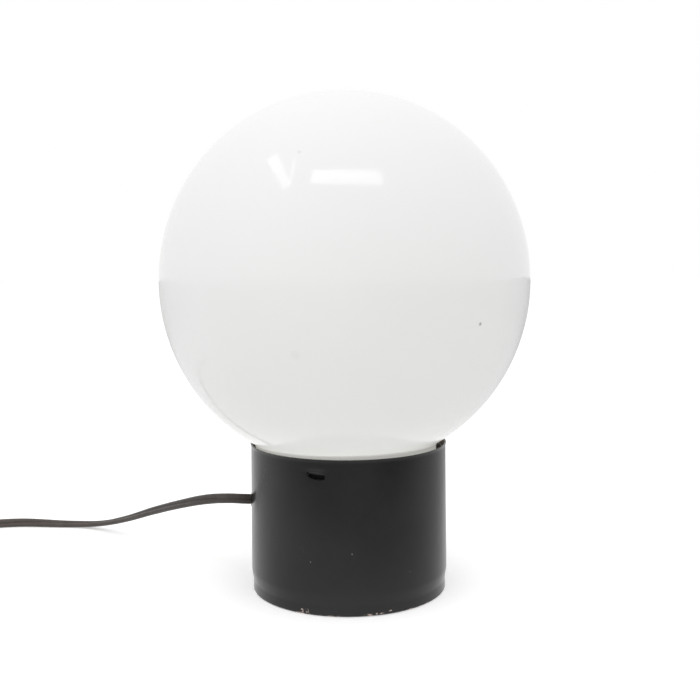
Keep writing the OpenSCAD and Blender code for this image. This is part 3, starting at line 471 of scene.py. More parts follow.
def stadium(inset, height, steps=20):
    """Rings round the switch: half a circle at each end, drawn in by its inset, at its height."""
    a = np.radians(np.concatenate([np.linspace(-90, 90, steps), np.linspace(90, 270, steps)]))
    ends = np.repeat([[end_x, 0, 0], [-end_x, 0, 0]], steps, 0)
    return ends + polar(end_r - np.array(inset)[:, None], a, np.array(height)[:, None])


def block(low, high, edge, steps=4):
    """A block with round edges: its sides draw in by edge (1 - sin t) over the last edge (1 - cos t)."""
    low, high = np.array(low, float), np.array(high, float)
    t = np.linspace(0, pi / 2, steps)
    x = np.concatenate([low[0] + edge * (1 - np.cos(t)), (high[0] - edge * (1 - np.cos(t)))[::-1]])
    inset = edge * (1 - np.concatenate([np.sin(t), np.sin(t)[::-1]]))
    (wide, tall), middle = (high - low)[1:] / 2, (high + low) / 2
    rings = np.stack([round_rectangle(wide - d, tall - d, edge * 1.001 - d, steps) for d in inset])
    return np.concatenate([x[:, None, None] + 0 * rings[..., :1], middle[1:] + rings], -1)


def upright(x, y, radius, low, high, steps=40):
    """An upright pin as a grid of two rings."""
    return polar(radius, round_turn(steps), np.array([[low], [high]])) + [x, y, 0]


def half_shell():
    """The lower half as a cup: flat floor, an edge rounded by c (1 - sin t) and c (1 - cos t), the wall up
    to a small bevel where the halves meet, and the same way down inside."""
    t = np.linspace(0, pi / 2, 8)
    inset = [floor_inset, *(switch_corner * (1 - np.sin(t))), 0, 0.25, switch_wall, switch_wall,
             switch_wall + 0.8, floor_inset]
    height = [0, *(switch_corner * (1 - np.cos(t))), switch_half - 0.3, switch_half, switch_half,
              switch_wall + 0.8, switch_wall, switch_wall]
    return stadium(inset, height)


def carved(mesh, cutters, operation="DIFFERENCE"):
    """The mesh less, or with, each cutter's mesh."""
    body = bpy.data.objects.new("being_cut", mesh)
    bpy.context.scene.collection.objects.link(body)
    made = [bpy.data.objects.new("cutter", cutter) for cutter in cutters]
    for cutter in made:
        bpy.context.scene.collection.objects.link(cutter)
        step = body.modifiers.new("cut", "BOOLEAN")
        step.object, step.operation, step.solver = cutter, operation, "EXACT"
    result = bpy.data.meshes.new_from_object(body.evaluated_get(bpy.context.evaluated_depsgraph_get()))
    for spent in [body, *made]:
        bpy.data.objects.remove(spent)
    return result


def switch_shell(upper):
    """One half with its snouts and posts, then its cord slots, its wheel room and its screw hole."""
    turned_over = [1, 1, -1] if upper else [1, 1, 1]
    rise = [0, 0, 2 * switch_half if upper else 0]

    def local(grid):
        return grid_mesh(at_switch(grid * turned_over + rise))

    snouts = [block((x, -snout_w / 2, switch_half - snout_h / 2),
                    (x + snout_to - snout_from, snout_w / 2, switch_half), 0.5)
              for x in (snout_from, -snout_to)]
    posts = [upright(boss_x, 0, 3, switch_wall - 0.5, switch_half),
             upright(wheel_x, wheel_y, 4, switch_wall - 0.5, switch_half - wheel_t / 2 - 0.3)]
    mesh = carved(local(half_shell()), [local(grid) for grid in [*snouts, *posts]], "UNION")
    slots = [block((x, -slot_w, switch_half - slot_h), (x + slot_l, slot_w, switch_half + slot_h), 0.3)
             for x in slot_starts]
    room = upright(wheel_x, wheel_y, wheel_r + 0.6, switch_half - wheel_t / 2 - 0.3, switch_half + 1, 96)
    hole = upright(boss_x, 0, screw_hole_r, 4 if upper else -1, switch_half + 1)
    if upper:
        last = upright(wheel_x, wheel_y, post_r + play, switch_wall + 0.3, switch_half + 1)
    else:
        last = upright(boss_x, 0, screw_head_r, -1, screw_head_h)
    mesh = carved(mesh, [local(grid) for grid in [*slots, room, hole, last]])
    if upper:
        return mesh
    pin = upright(wheel_x, wheel_y, post_r, switch_wall - 0.5, 2 * (switch_half - switch_wall) + 1.4)
    return carved(mesh, [local(pin)], "UNION")


def moulded(name, colour, gloss=0.4, grain=0.00003):
    """Moulded plastic: slightly cloudy colour, a fine skin grain, and a gloss that handling has varied."""
    place, end = new_material(name)
    clouds = ranged(noise(place, 0.008, 4, 0.6), 0.3, 0.7)
    handled = ranged(noise(place, 0.004, 3), 0.3, 0.7, gloss - 0.06, gloss + 0.08)
    return end(varied(clouds, colour, 0.85, 1.2), handled, IOR=1.5,
               Normal=bumped(noise(place, 0.0006, 2, 0.6), grain))


brown_plastic = moulded("brown_plastic", switch_brown, 0.38)
shells = []
for name, node, is_upper in (("switch_lower_shell", "switch_base", False),
                             ("switch_upper_shell", "switch_cover", True)):
    shells.append(new_piece(name, switch_shell(is_upper), brown_plastic, "brown_plastic", node))

# Switch wheel. A fluted disc of dark plastic that turns on the lower half's pin and stands out of the side
# for a thumb, with a sunk band in each face.
wheel_flutes, flute_r, flute_out = 36, 0.6, 0.2
wheel_band_deep, wheel_bevel, wheel_side = 0.4, 0.7, 0.3
wheel_brown = (0.020, 0.014, 0.012)


def wheel_grid():
    """A ring from bore to rim. Each flute is an arc of radius r about a line a distance d outside the rim:
    at a distance s from its middle it takes sqrt(r^2 - s^2) - d off the radius."""
    a = round_turn(wheel_flutes * 8)[None, :]
    s = wheel_r * ((a * wheel_flutes + pi) % (2 * pi) - pi) / wheel_flutes
    flute = np.sqrt(np.maximum(flute_r ** 2 - s ** 2, flute_out ** 2)) - flute_out
    radius = np.array([post_r + play, 4, 4.4, 9, 9.4, wheel_r - wheel_bevel, wheel_r])
    face, sunk = wheel_t / 2, wheel_t / 2 - wheel_band_deep
    rise = np.array([face, face, sunk, sunk, face, face, face - wheel_side])
    radius = np.concatenate([radius, radius[::-1]])[:, None]
    rise = np.concatenate([-rise, rise[::-1]])[:, None]
    fluted = np.clip((radius - 10) / 0.8, 0, 1)
    return at_switch(polar(radius - flute * fluted, a, switch_half + rise) + [wheel_x, wheel_y, 0])


wheel = new_piece("switch_thumb_wheel", grid_mesh(wheel_grid(), loop=True),
                  moulded("wheel_plastic", wheel_brown, 0.45), "wheel_plastic", "switch_wheel",
                  body="switch_wheel")

# Inside the switch. One core runs past the wheel whole, and the other is cut and ends at two brass strips
# that the wheel bridges. A plated screw draws the halves together.
core_d = 2.2
core_y = -end_r + switch_wall + core_d / 2 + 0.1
face_x = 23.5
half_core = 1.35
plated_zinc = (0.60, 0.61, 0.60)
clean_brass = (0.72, 0.52, 0.24)


def round_core(path, radius, across=(0, 1, 0), steps=14):
    """A round wire along a path. Its section's side vector is across less its share along the path."""
    along = np.gradient(path, axis=0)
    along /= np.linalg.norm(along, axis=1)[:, None]
    side = np.array(across) - (along @ np.array(across))[:, None] * along
    side /= np.linalg.norm(side, axis=1)[:, None]
    a = round_turn(steps)[None, :, None]
    return path[:, None] + radius * (side[:, None] * np.cos(a) + np.cross(side, along)[:, None] * np.sin(a))


def metal(name, colour, gloss=0.25, drawn=(1, 1, 1), tarnish=0.85):
    """Bare or plated metal: fine tool lines, stretched along one axis, and patches of duller tarnish."""
    place, end = new_material(name)
    patches = ranged(noise(place, 0.006, 4, 0.6), 0.35, 0.7)
    return end(varied(patches, colour, 1, tarnish), calc("MULTIPLY_ADD", patches, 0.12, gloss), Metallic=1.0,
               Normal=bumped(noise(place, 0.0008, 3, 0.6, stretch=drawn), 0.00003))


def finish_node(name, material):
    """Gives a CAD solid that stays in view its finish, in each of its material slots."""
    for slot in nodes[name].material_slots:
        slot.material = material


zinc = metal("zinc_plate", plated_zinc, 0.3)
brass = metal("brass_strip", clean_brass, 0.25, (1, 1, 0.1))
finish_node("switch_screw", zinc)
finish_node("switch_contacts", brass)
past = np.array([[-face_x, -half_core], [-face_x + 1, -half_core], [-face_x + 3, -3.6],
                 [-face_x + 8, core_y + 0.6], [-face_x + 12, core_y]])
core_routes = [np.vstack([past, (past * [-1, 1])[::-1]]),
               [[-face_x, half_core], [-face_x + 1, half_core], [-face_x + 3, 4], [-face_x + 7, 6.4],
                [boss_x + 6, 6.4], [boss_x + 8, 6.4]],
               [[face_x, half_core], [face_x - 1, half_core], [end_x + 4.4, half_core + 0.15]]]
core_paths = [smooth_route([[*p, switch_half, 0] for p in route], 4)[:, :3] / mm for route in core_routes]
cores = grid_mesh(*(round_core(at_switch(path), core_d / 2 * mm, (0, 0, 1)) for path in core_paths))
new_piece("switch_cores", cores, vinyl, "cord_vinyl", "switch_leads")

# Plug. A flat two-blade plug moulded on the cord in brown vinyl: ridges round its nose let the cord bend,
# its flat sides are hollowed for the fingers, and the blades are folded brass with a hole near the tip.
plug_x, plug_y, plug_turn = -234.0, 8.5, radians(105)
plug_l, plug_w, plug_t = 28.0, 22.0, 12.5
nose_w, nose_t, nose_l, end_round = 4.3, 3.75, 10.0, 1.6
nose_ridges, ridge_depth, ridges_x, ridges_l = 5, 0.35, 0.8, 7.2
swell_x, swell_l, lift_l = 7.0, 9.0, 12.0
hollow_depth, hollow_x, hollow_l, hollow_w = 0.7, 20.5, 4.0, 6.0
draw_in, draw_x, draw_l = 1.3, 26.6, 1.42
blade_hole_r, blade_hole_in = 1.6, 4.5
plug_brown = (0.042, 0.030, 0.024)
corner_power = 3.4
blade_pitch, blade_l, blade_w, blade_t = 12.7, 17.0, 6.35, 1.5


def at_plug(points):
    """Points given along, across and above the plug, in millimetres from its cord end on the table."""
    c, s = cos(plug_turn), sin(plug_turn)
    x, y, z = points[..., 0], points[..., 1], points[..., 2]
    return np.stack([plug_x + x * c - y * s, plug_y + x * s + y * c, z], -1) * mm


def plug_grid():
    """Sections along the plug, each |y / w|^3.4 + |z / t|^3.4 = 1. The widths swell with 3 u^2 - 2 u^3
    between the nose and the body, less a cosine ripple on the nose, a shallow hollow on the body and a
    quarter round at the blades' end."""
    x = np.concatenate([np.linspace(0, nose_l, 41), np.linspace(nose_l + 0.5, plug_l - end_round, 26),
                        plug_l - end_round * (1 - np.sin(np.linspace(0, pi / 2, 6)[1:])) ** 2])
    x[-1] = plug_l
    swell = np.clip((x - swell_x) / swell_l, 0, 1)
    lift = np.clip(x / lift_l, 0, 1)
    ripple = ridge_depth * (1 - np.cos(2 * pi * np.clip((x - ridges_x) / ridges_l, 0, 1) * nose_ridges)) / 2
    end = draw_in * (1 - np.sqrt(1 - np.clip((x - draw_x) / draw_l, 0, 1) ** 2))
    w = nose_w + (plug_w / 2 - nose_w) * swell ** 2 * (3 - 2 * swell) - ripple - end
    hollow = hollow_depth * np.exp(-((x - hollow_x) / hollow_l) ** 2)
    t = nose_t + (plug_t / 2 - nose_t) * lift ** 2 * (3 - 2 * lift) - ripple - end
    a = round_turn(72)
    c, s = np.cos(a), np.sin(a)
    y = w[:, None] * np.sign(c) * np.abs(c) ** (2 / corner_power)
    z = t[:, None] * np.sign(s) * np.abs(s) ** (2 / corner_power)
    z = z * (1 - hollow[:, None] / 6 * np.exp(-(y / hollow_w) ** 2))
    return at_plug(np.stack([x[:, None] + 0 * y, y, plug_t / 2 + z], -1))


plug_vinyl = moulded("plug_vinyl", plug_brown, 0.42)
plug_body = new_piece("plug_moulding", grid_mesh(plug_grid()), plug_vinyl, "cord_vinyl", "plug_body")
blades = []
for side in (-1, 1):
    inner = side * blade_pitch / 2 - blade_t / 2
    grid = block((plug_l - 5, inner, (plug_t - blade_w) / 2),
                 (plug_l + blade_l, inner + blade_t, (plug_t + blade_w) / 2), 0.35)
    bore = upright(0, 0, blade_hole_r, inner - 1, inner + blade_t + 1)[..., [0, 2, 1]]
    bore = bore + [plug_l + blade_l - blade_hole_in, 0, plug_t / 2]
    blades.append(carved(grid_mesh(at_plug(grid)), [grid_mesh(at_plug(bore))]))
plug_pair = new_piece("plug_blade_pair", carved(blades[0], [blades[1]], "UNION"), brass, "contact_brass",
                      "plug_blades")
# What lies past the edge of the picture isn't mirrored, so that the tube and the glass stay as plain there as
# in the photograph.
for piece in (rest, tie, *shells, wheel, plug_body, plug_pair):
    piece.visible_glossy = False

# Base tube. Steel tube 107 mm across with a 0.9 mm wall: the mouth is rolled out a little, the foot end is
# necked in over the bottom pan, and three tabs lanced in the wall hold the globe pan. Glossy black enamel
# outside, brown primer inside, with chips at the foot where the lamp has been set down.
tube_low, tube_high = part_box("base_tube")
flare_out, flare_h = 0.5 * mm, 2.2 * mm
foot_in, foot_open, foot_lip = 0.95 * mm, 0.12 * mm, 5 * mm
foot_bend, foot_slope = 12 * mm, radians(9.5)
wall = 0.9 * mm
edge_round = 0.25 * mm
tube_r = tube_high.x - flare_out
tube_h = tube_high.z
foot_z = tube_low.z
waist_z = foot_z + foot_lip
flare_bend = (flare_out ** 2 + flare_h ** 2) / (2 * flare_out)
foot_bend_h = foot_bend * sin(foot_slope)
foot_bend_in = foot_bend - sqrt(foot_bend ** 2 - foot_bend_h ** 2)
foot_top = waist_z + foot_bend_h + (foot_in - foot_bend_in) / tan(foot_slope)
tab_w, tab_h = 9.6 * mm, 4 * mm
tab_turns = [radians(-108 + 120 * i) for i in range(3)]
tab_lean = radians(28)
hinge_z = tube_h - 8.5 * mm + tab_h / 2
hinge_dent = 0.55 * mm
cord_hole_z, cord_hole_r = 47 * mm, 3.75 * mm
enamel = (0.0072, 0.0073, 0.0078)
primer = (0.12, 0.088, 0.072)
bare_steel = (0.55, 0.44, 0.40)
dust_grey = (0.5, 0.5, 0.48, 1)
# Chips as x, y, z, width and height, and specks in the enamel as x, y, z and size, in millimetres.
chip_places = ((-24.0, -48.0, 1.9, 1.3, 0.9), (-21.6, -49.2, 1.8, 1.0, 1.2), (9.5, -52.6, 0.9, 3.0, 0.5),
               (14.5, -51.5, 1.2, 3.5, 0.35), (21.5, -49.1, 1.9, 2.6, 0.3), (40.2, 35.1, 1.2, 2.4, 0.8),
               (-33.0, 41.9, 1.3, 1.8, 0.9))
enamel_specks = ((-19.4, -50.1, 27.2, 0.28), (1.6, -53.7, 32.1, 0.3), (31, -43.7, 20, 0.2))


def wall_radius(z):
    """Outside radius of the wall at height z. A round bend of radius R over a run s moves it by
    R - sqrt(R^2 - s^2): out at the mouth, in at the foot, where a cone and a lip follow."""
    flare = np.clip(z - tube_h + flare_h, 0, flare_h)
    down = np.clip(foot_top - z, 0, foot_top - waist_z)
    bend = np.minimum(down, foot_bend_h)
    lip = foot_open * np.clip((waist_z - z) / foot_lip, 0, 1)
    return (tube_r + flare_bend - np.sqrt(flare_bend ** 2 - flare ** 2) + lip
            - (foot_bend - np.sqrt(foot_bend ** 2 - bend ** 2)) - (down - bend) * tan(foot_slope))


def tube_grid():
    """The wall as one closed sheet. Each row is a height on the outer face, over the mouth's round edge,
    down the inner face and round the foot's edge. Above each tab the sheet is drawn in by
    dent exp(-(across / 4.2 mm)^2 - (rise / 1.1 mm)^2), and more widely round the slot by a third of that."""
    fine = [np.arange(c - 9, c + 9, 0.3) for c in np.degrees(tab_turns)]
    turns = np.radians(np.unique(np.round(np.concatenate([np.arange(-180, 180, 1.2), *fine]), 4)))
    z = np.unique(np.round(np.concatenate([
        np.linspace(foot_z + edge_round, foot_top + mm, 30), np.arange(foot_top, hinge_z - 8 * mm, 1.2 * mm),
        np.arange(hinge_z - 8 * mm, hinge_z + 3 * mm, 0.35 * mm),
        np.linspace(hinge_z + 3 * mm, tube_h - edge_round, 18)]), 6))
    r = wall_radius(z)
    bow = np.linspace(0, pi, 7)[1:-1]
    top_r, low_r = r[-1] - wall / 2, r[0] - wall / 2
    across, up = wall / 2 * np.cos(bow), edge_round * np.sin(bow)
    radius = np.concatenate([r, top_r + across, r[::-1] - wall, low_r - across])
    height = np.concatenate([z, z[-1] + up, z[::-1], z[0] - up])
    a, radius, height = turns[None, :], radius[:, None], height[:, None]
    for turn in tab_turns:
        across = tube_r * ((a - turn + pi) % (2 * pi) - pi)
        rise = height - hinge_z
        radius = radius - hinge_dent * np.exp(-(across / (4.2 * mm)) ** 2 - (rise / (1.1 * mm)) ** 2)
        radius = radius - hinge_dent / 3 * np.exp(-(across / (6.5 * mm)) ** 2
                                                  - ((rise + tab_h / 2) / (4 * mm)) ** 2)
    return polar(radius, a, height)


def eye(width, height, steps=48):
    """Outline of a tab's slot seen from outside, its top edge at 0: a closed smooth curve through the
    eight corners of a slanted eye."""
    corners = np.array([[-0.49, -0.28], [-0.36, 0], [0.23, 0], [0.5, -0.4], [0.48, -0.85], [0.27, -1],
                        [-0.22, -0.82], [-0.46, -0.52]]) * [width, height]
    curve = curve_between(*(np.roll(corners, 1 - i, 0)[:, None] for i in range(4)), steps // len(corners))
    return np.minimum(curve.reshape(-1, 2), [np.inf, 0])


def on_wall(flat, radius, turn):
    """Flat points, across and up from a tab's hinge, laid on an upright cylinder of that radius."""
    return polar(radius, turn + flat[..., 0] / tube_r, hinge_z + flat[..., 1])


def tongue_grid(turn):
    """A tab's tongue: the slot's outline drawn in by its cut, as shares of its size on the outer face and
    back on the inner one, leaned in about the hinge."""
    outline = eye(tab_w - 0.7 * mm, tab_h - 0.35 * mm)
    middle = np.array([0, -tab_h / 2])
    share = np.array([0.02, 0.5, 0.95, 1, 1, 0.95, 0.5, 0.02])[:, None, None]
    depth = wall * np.array([0, 0, 0, 0.1, 0.9, 1, 1, 1])[:, None]
    flat = middle + (outline - middle) * share
    flat = np.concatenate([flat[..., :1], np.minimum(flat[..., 1:], 0)], -1)
    out = np.array([cos(turn), sin(turn), 0])
    points = on_wall(flat, tube_r - depth, turn)
    inward, down = points @ out - tube_r, points[..., 2] - hinge_z
    turned_in = inward * cos(tab_lean) + down * sin(tab_lean) - hinge_dent * 0.8
    lowered = down * cos(tab_lean) - inward * sin(tab_lean)
    return points + (turned_in - inward)[..., None] * out + np.stack([0 * down, 0 * down, lowered - down], -1)


def round_bar(radius, start, end, steps=48):
    """A round bar between two points on the same level, as a grid."""
    start, end = np.array(start, float), np.array(end, float)
    along = (end - start) / np.linalg.norm(end - start)
    side = np.cross(along, [0, 0, 1])
    a = round_turn(steps)[:, None]
    ring = radius * (np.cos(a) * side + np.sin(a) * np.cross(side, along))
    return np.stack([start + ring, end + ring])


def spot(place, at, size, soft=0.3):
    """1 inside an oval at a point, both in millimetres, and 0 outside it, with an edge of that share of its
    size."""
    apart = put("VectorMath", operation="SUBTRACT", In0=place, In1=np.array(at) * mm).outputs[0]
    share = put("VectorMath", operation="DIVIDE", In0=apart, In1=np.array(size) * mm).outputs[0]
    far = put("VectorMath", operation="LENGTH", In0=share).outputs["Value"]
    return ranged(far, 1 - soft, 1 + soft, 1, 0)


def black_enamel():
    """Glossy black enamel: soft clouds and wiping marks in the gloss, orange peel, a few dust specks, and
    chips to bare steel where the rim meets the table."""
    place, end = new_material("black_enamel")
    height = put("SeparateXYZ", Vector=place).outputs[2]
    clouds = noise(place, 0.03, 4, 0.55)
    streaks = noise(place, 0.014, 3, 0.5, 4, stretch=(1, 1, 0.4))
    dust = put("TexVoronoi", Vector=place, Scale=1 / 0.0042).outputs["Distance"]
    sparse = ranged(noise(place, 0.011, 2, 0.5, 7), 0.58, 0.62)
    dust = calc("MULTIPLY", ranged(dust, 0.025, 0.045, 0.6, 0), sparse)
    for x, y, z, size in enamel_specks:
        dust = calc("MAXIMUM", dust, spot(place, (x, y, z), (size, size, size)))
    spots = [spot(place, (x, y, z), (wide, 3, tall)) for x, y, z, wide, tall in chip_places]
    where = spots[0]
    for other in spots[1:]:
        where = calc("MAXIMUM", where, other)
    ragged = ranged(noise(place, 0.0013, 3, 0.7, 9), 0.49, 0.54)
    rim = ranged(height, foot_z + 0.15 * mm, foot_z + 0.7 * mm, 1, 0)
    worn = calc("MULTIPLY", rim, ranged(noise(place, 0.004, 3, 0.6, 2), 0.52, 0.58))
    chips = calc("MAXIMUM", calc("MULTIPLY", ragged, where), worn)
    colour = varied(ranged(clouds, 0.35, 0.65), enamel, 0.8, 1.5)
    colour = mixed(calc("MULTIPLY", dust, 0.35), colour, dust_grey)
    colour = mixed(chips, colour, shade(bare_steel))
    gloss = calc("ADD", ranged(clouds, 0.3, 0.7, 0.16, 0.26), ranged(streaks, 0.35, 0.7, 0, 0.04))
    gloss = calc("ADD", gloss, calc("MULTIPLY", chips, 0.3))
    peel = calc("SUBTRACT", noise(place, 0.0035, 2), calc("MULTIPLY", chips, 0.6))
    return end(colour, gloss, IOR=1.5, Specular_IOR_Level=0.42, Normal=bumped(peel, 0.00006))


def brown_primer():
    """Dull brown primer, thin and uneven, as it is sprayed into a tube."""
    place, end = new_material("brown_primer")
    lumps = noise(place, 0.006, 5, 0.65)
    return end(varied(ranged(lumps, 0.35, 0.7), primer, 0.7, 1.4), 0.55, Normal=bumped(lumps, 0.0001))


outline = eye(tab_w, tab_h)
through_wall = np.array([[tube_r - wall - mm], [tube_r + mm]])
slots = [grid_mesh(on_wall(outline[None], through_wall, turn)) for turn in tab_turns]
hole_in, hole_out = (-tube_r + 3 * mm, 0, cord_hole_z), (-tube_r - 2 * mm, 0, cord_hole_z)
hole = grid_mesh(round_bar(cord_hole_r, hole_in, hole_out))
tube_mesh = carved(grid_mesh(tube_grid(), loop=True), [*slots, hole])
tongues = grid_mesh(*(tongue_grid(turn) for turn in tab_turns))
tube_mesh = carved(tube_mesh, [tongues], "UNION")
new_piece("base_tube_enamelled", tube_mesh, black_enamel(), "black_paint", "base_tube")
tube_mesh.materials.append(brown_primer())
faces = len(tube_mesh.polygons)
middle, normal = np.zeros(faces * 3), np.zeros(faces * 3)
tube_mesh.polygons.foreach_get("center", middle)
tube_mesh.polygons.foreach_get("normal", normal)
middle, normal = middle.reshape(-1, 3), normal.reshape(-1, 3)
far = np.hypot(middle[:, 0], middle[:, 1])
facing = (normal[:, :2] * middle[:, :2]).sum(1) / far
inside = (facing < -0.3) & (far < wall_radius(middle[:, 2]) - wall / 2)
tube_mesh.polygons.foreach_set("material_index", inside.astype(np.int32))

# Bottom pan and felt. A pressed steel pan closes the foot: it is dropped in from above until its rim wedges
# in the necked wall. A felt disc glued under it stands a little proud, and the lamp rests on that.
pan_t, felt_t = 0.9 * mm, 1.5 * mm
bottom_rim_z = felt_t + 7.5 * mm
felt_r = 50.5 * mm
pan_steel = (0.17, 0.155, 0.14)
rust = (0.10, 0.045, 0.02, 1)
felt_green = (0.010, 0.014, 0.012)


def softened(corners, cut=0.3 * mm, steps=5, closed=False):
    """A line of radius and height with its corners rounded: near a corner P, from A to B on the sides that
    meet there, it follows (1 - t)^2 A + 2 t (1 - t) P + t^2 B."""
    p = np.array(corners, float)
    last, after = np.roll(p, 1, 0), np.roll(p, -1, 0)
    back, on = last - p, after - p
    far_back, far_on = np.linalg.norm(back, axis=1)[:, None], np.linalg.norm(on, axis=1)[:, None]
    a = p + back * np.minimum(cut / np.maximum(far_back, 1e-9), 0.45)
    b = p + on * np.minimum(cut / np.maximum(far_on, 1e-9), 0.45)
    t = np.linspace(0, 1, steps)[None, :, None]
    curve = (1 - t) ** 2 * a[:, None] + 2 * t * (1 - t) * p[:, None] + t ** 2 * b[:, None]
    return curve.reshape(-1, 2) if closed else np.vstack([p[:1], curve[1:-1].reshape(-1, 2), p[-1:]])


def turned(profile, steps=96, centre=(0.0, 0.0)):
    """A profile of radius and height turned about an upright axis: (r cos a, r sin a, z)."""
    return polar(profile[:, :1], round_turn(steps), profile[:, 1:]) + [*centre, 0]


def turned_piece(name, corners, cut, material, slot, node, steps=96, closed=False, arc=5, **rest):
    """A piece turned from corners of radius and height that are softened by a cut. A closed line makes a
    ring, and an open one starts and ends near the axis."""
    line = softened(corners, cut, arc, closed)
    return new_piece(name, grid_mesh(turned(line, steps), loop=closed), material, slot, node, **rest)


def blued_steel(name, colour):
    """Pressed steel, blued dull and dark in blotches, with a fine grain and thin rust freckles."""
    place, end = new_material(name)
    blotches = ranged(noise(place, 0.012, 4, 0.6), 0.35, 0.7)
    freckles = ranged(noise(place, 0.0015, 4, 0.7, 3), 0.62, 0.68)
    colour = mixed(freckles, varied(blotches, colour, 0.75, 1.2), rust)
    return end(colour, ranged(blotches, 0, 1, 0.38, 0.52), Metallic=calc("SUBTRACT", 0.85, freckles),
               Normal=bumped(noise(place, 0.0009, 3), 0.00002))


def felt(name, colour):
    """Pressed felt: short fibres lying every way, lighter where they catch the light."""
    place, end = new_material(name)
    fibres = noise(place, 0.0005, 5, 0.75, stretch=(1, 1, 0.5))
    return end(varied(ranged(fibres, 0.35, 0.7), colour, 0.5, 2.2), 0.95, Sheen_Weight=0.4,
               Normal=bumped(fibres, 0.0003))


rim_r = float(wall_radius(np.array(bottom_rim_z - pan_t))) - wall - 0.05 * mm
rise_r, floor_r = rim_r - 1.1 * mm, rim_r - 2.6 * mm
dark_steel = blued_steel("dark_steel", pan_steel)
turned_piece("bottom_pan_pressed", [
    (0.2 * mm, felt_t), (floor_r, felt_t), (rise_r, felt_t + 2.2 * mm), (rise_r, bottom_rim_z - pan_t),
    (rim_r, bottom_rim_z - pan_t), (rim_r, bottom_rim_z), (rise_r - pan_t, bottom_rim_z),
    (rise_r - pan_t, felt_t + 2.6 * mm), (floor_r - 0.4 * mm, felt_t + pan_t), (0.2 * mm, felt_t + pan_t)],
    0.4 * mm, dark_steel, "dark_steel", "bottom_pan", 144)
turned_piece("felt_disc", [(0.2 * mm, 0), (felt_r, 0), (felt_r, felt_t), (0.2 * mm, felt_t)], 0.5 * mm,
             felt("green_felt", felt_green), "felt", "felt_pad", 144)

# Cord entry. A black bushing snapped into the tube's hole, with a flat bore for the cord on edge. Behind it
# a steel clip is crimped on the cord, so that a pull on the cord can't reach the lampholder.
bushing_x, bushing_l = -tube_r - 0.7 * mm, 4.4 * mm
barrel_r, flange_r = 3.7 * mm, 4.3 * mm
clip_l, clip_t = 4 * mm, 0.8 * mm
bushing_black = (0.012, 0.011, 0.010)


def entry(points):
    """Points given upright, turned so that their height runs inwards from the bushing's outer face."""
    return np.stack([bushing_x + points[..., 2], points[..., 1], cord_hole_z - points[..., 0]], -1)


bushing_profile = softened([
    (0.2 * mm, 0.3 * mm), (barrel_r - 0.6 * mm, 0.3 * mm), (barrel_r, 0.42 * mm), (flange_r, 0.62 * mm),
    (flange_r, 0.72 * mm), (barrel_r, 0.75 * mm), (barrel_r, 1.9 * mm), (barrel_r + 0.4 * mm, 2.2 * mm),
    (barrel_r + 0.4 * mm, 3.3 * mm), (barrel_r - 0.3 * mm, bushing_l), (0.2 * mm, bushing_l)], 0.15 * mm)
bore_ring = round_rectangle(cord_w / 2 + 0.2 * mm, cord_t / 2 + 0.2 * mm, cord_t / 2 + 0.19 * mm, 8)
bore_grid = np.stack([np.insert(bore_ring, 2, z, 1) for z in (-mm, bushing_l + mm)])
bushing_mesh = carved(grid_mesh(entry(turned(bushing_profile, 64))), [grid_mesh(entry(bore_grid))])
new_piece("bushing_snapped_in", bushing_mesh, moulded("bushing_plastic", bushing_black, 0.35),
          "bushing_plastic", "cord_bushing")


def clip_grid():
    """A band round the cord: round rectangles, pinched by 0.25 mm in two grooves along its length."""
    z = np.linspace(0, clip_l, 17)
    pinch = 0.25 * mm * np.maximum(0, -np.cos(4 * pi * z / clip_l))
    outside = [round_rectangle(cord_w / 2 + clip_t - p, cord_t / 2 + clip_t - p, 0.9 * mm) for p in pinch]
    inside = [round_rectangle(cord_w / 2 + 0.03 * mm, cord_t / 2 + 0.03 * mm, 0.3 * mm) for p in pinch]
    ends = np.concatenate([z, z[::-1]])[:, None] + np.zeros(len(outside[0]))
    return np.concatenate([np.stack(outside + inside[::-1]), ends[..., None]], -1)


new_piece("cord_clip_crimped", grid_mesh(entry(clip_grid() + [0, 0, bushing_l]), loop=True), zinc,
          "zinc_steel", "cord_clip")

# Cord inside. From the bushing it turns flat and parts into its two cores, which bend up through the
# nipple and spread to the lampholder's terminals.
lead_bend, split_x = 15.0, -24.0
lead_z, lead_y, lead_end_y = 47.0, cord_w / 4 / mm, 12.3
lead_r = 1.3 * mm
straight_to = -44.0
climb_from, climb_h = 80.1, 10.4
t = np.linspace(0.2, 0.8, 4)[:, None]
turning = np.hstack([straight_to + (split_x - straight_to) * t, 0 * t, lead_z + 0 * t, 90 - 90 * t])
inner_route = np.vstack([[[-54.4, 0, 47, 90], [straight_to, 0, 47, 90]], turning, [[split_x, 0, lead_z, 0]]])
new_piece("cord_inside", grid_mesh(carried(lobes, smooth_route(inner_route, 6))), vinyl, "cord_vinyl",
          "cord_inner")
for name, node, side in (("live_core", "lead_hot", 1), ("return_core", "lead_neutral", -1)):
    a = np.radians(np.arange(0, 91, 10))[:, None]
    bend = np.hstack([lead_bend * (np.sin(a) - 1), side * lead_y + 0 * a,
                      lead_z + lead_bend * (1 - np.cos(a))])
    t = np.linspace(0, 1, 14)[:, None]
    spread = np.hstack([0 * t, side * (lead_y + (lead_end_y - lead_y) * (1 - np.cos(pi * t)) / 2),
                        climb_from + climb_h * t])
    path = np.vstack([[[split_x, side * lead_y, lead_z]], bend, spread]) * mm
    lead = round_core(path[:11], lead_r)
    climb = round_core(path[10:], lead_r, (-1, 0, 0))
    new_piece(name, grid_mesh(lead, climb), vinyl, "cord_vinyl", node)

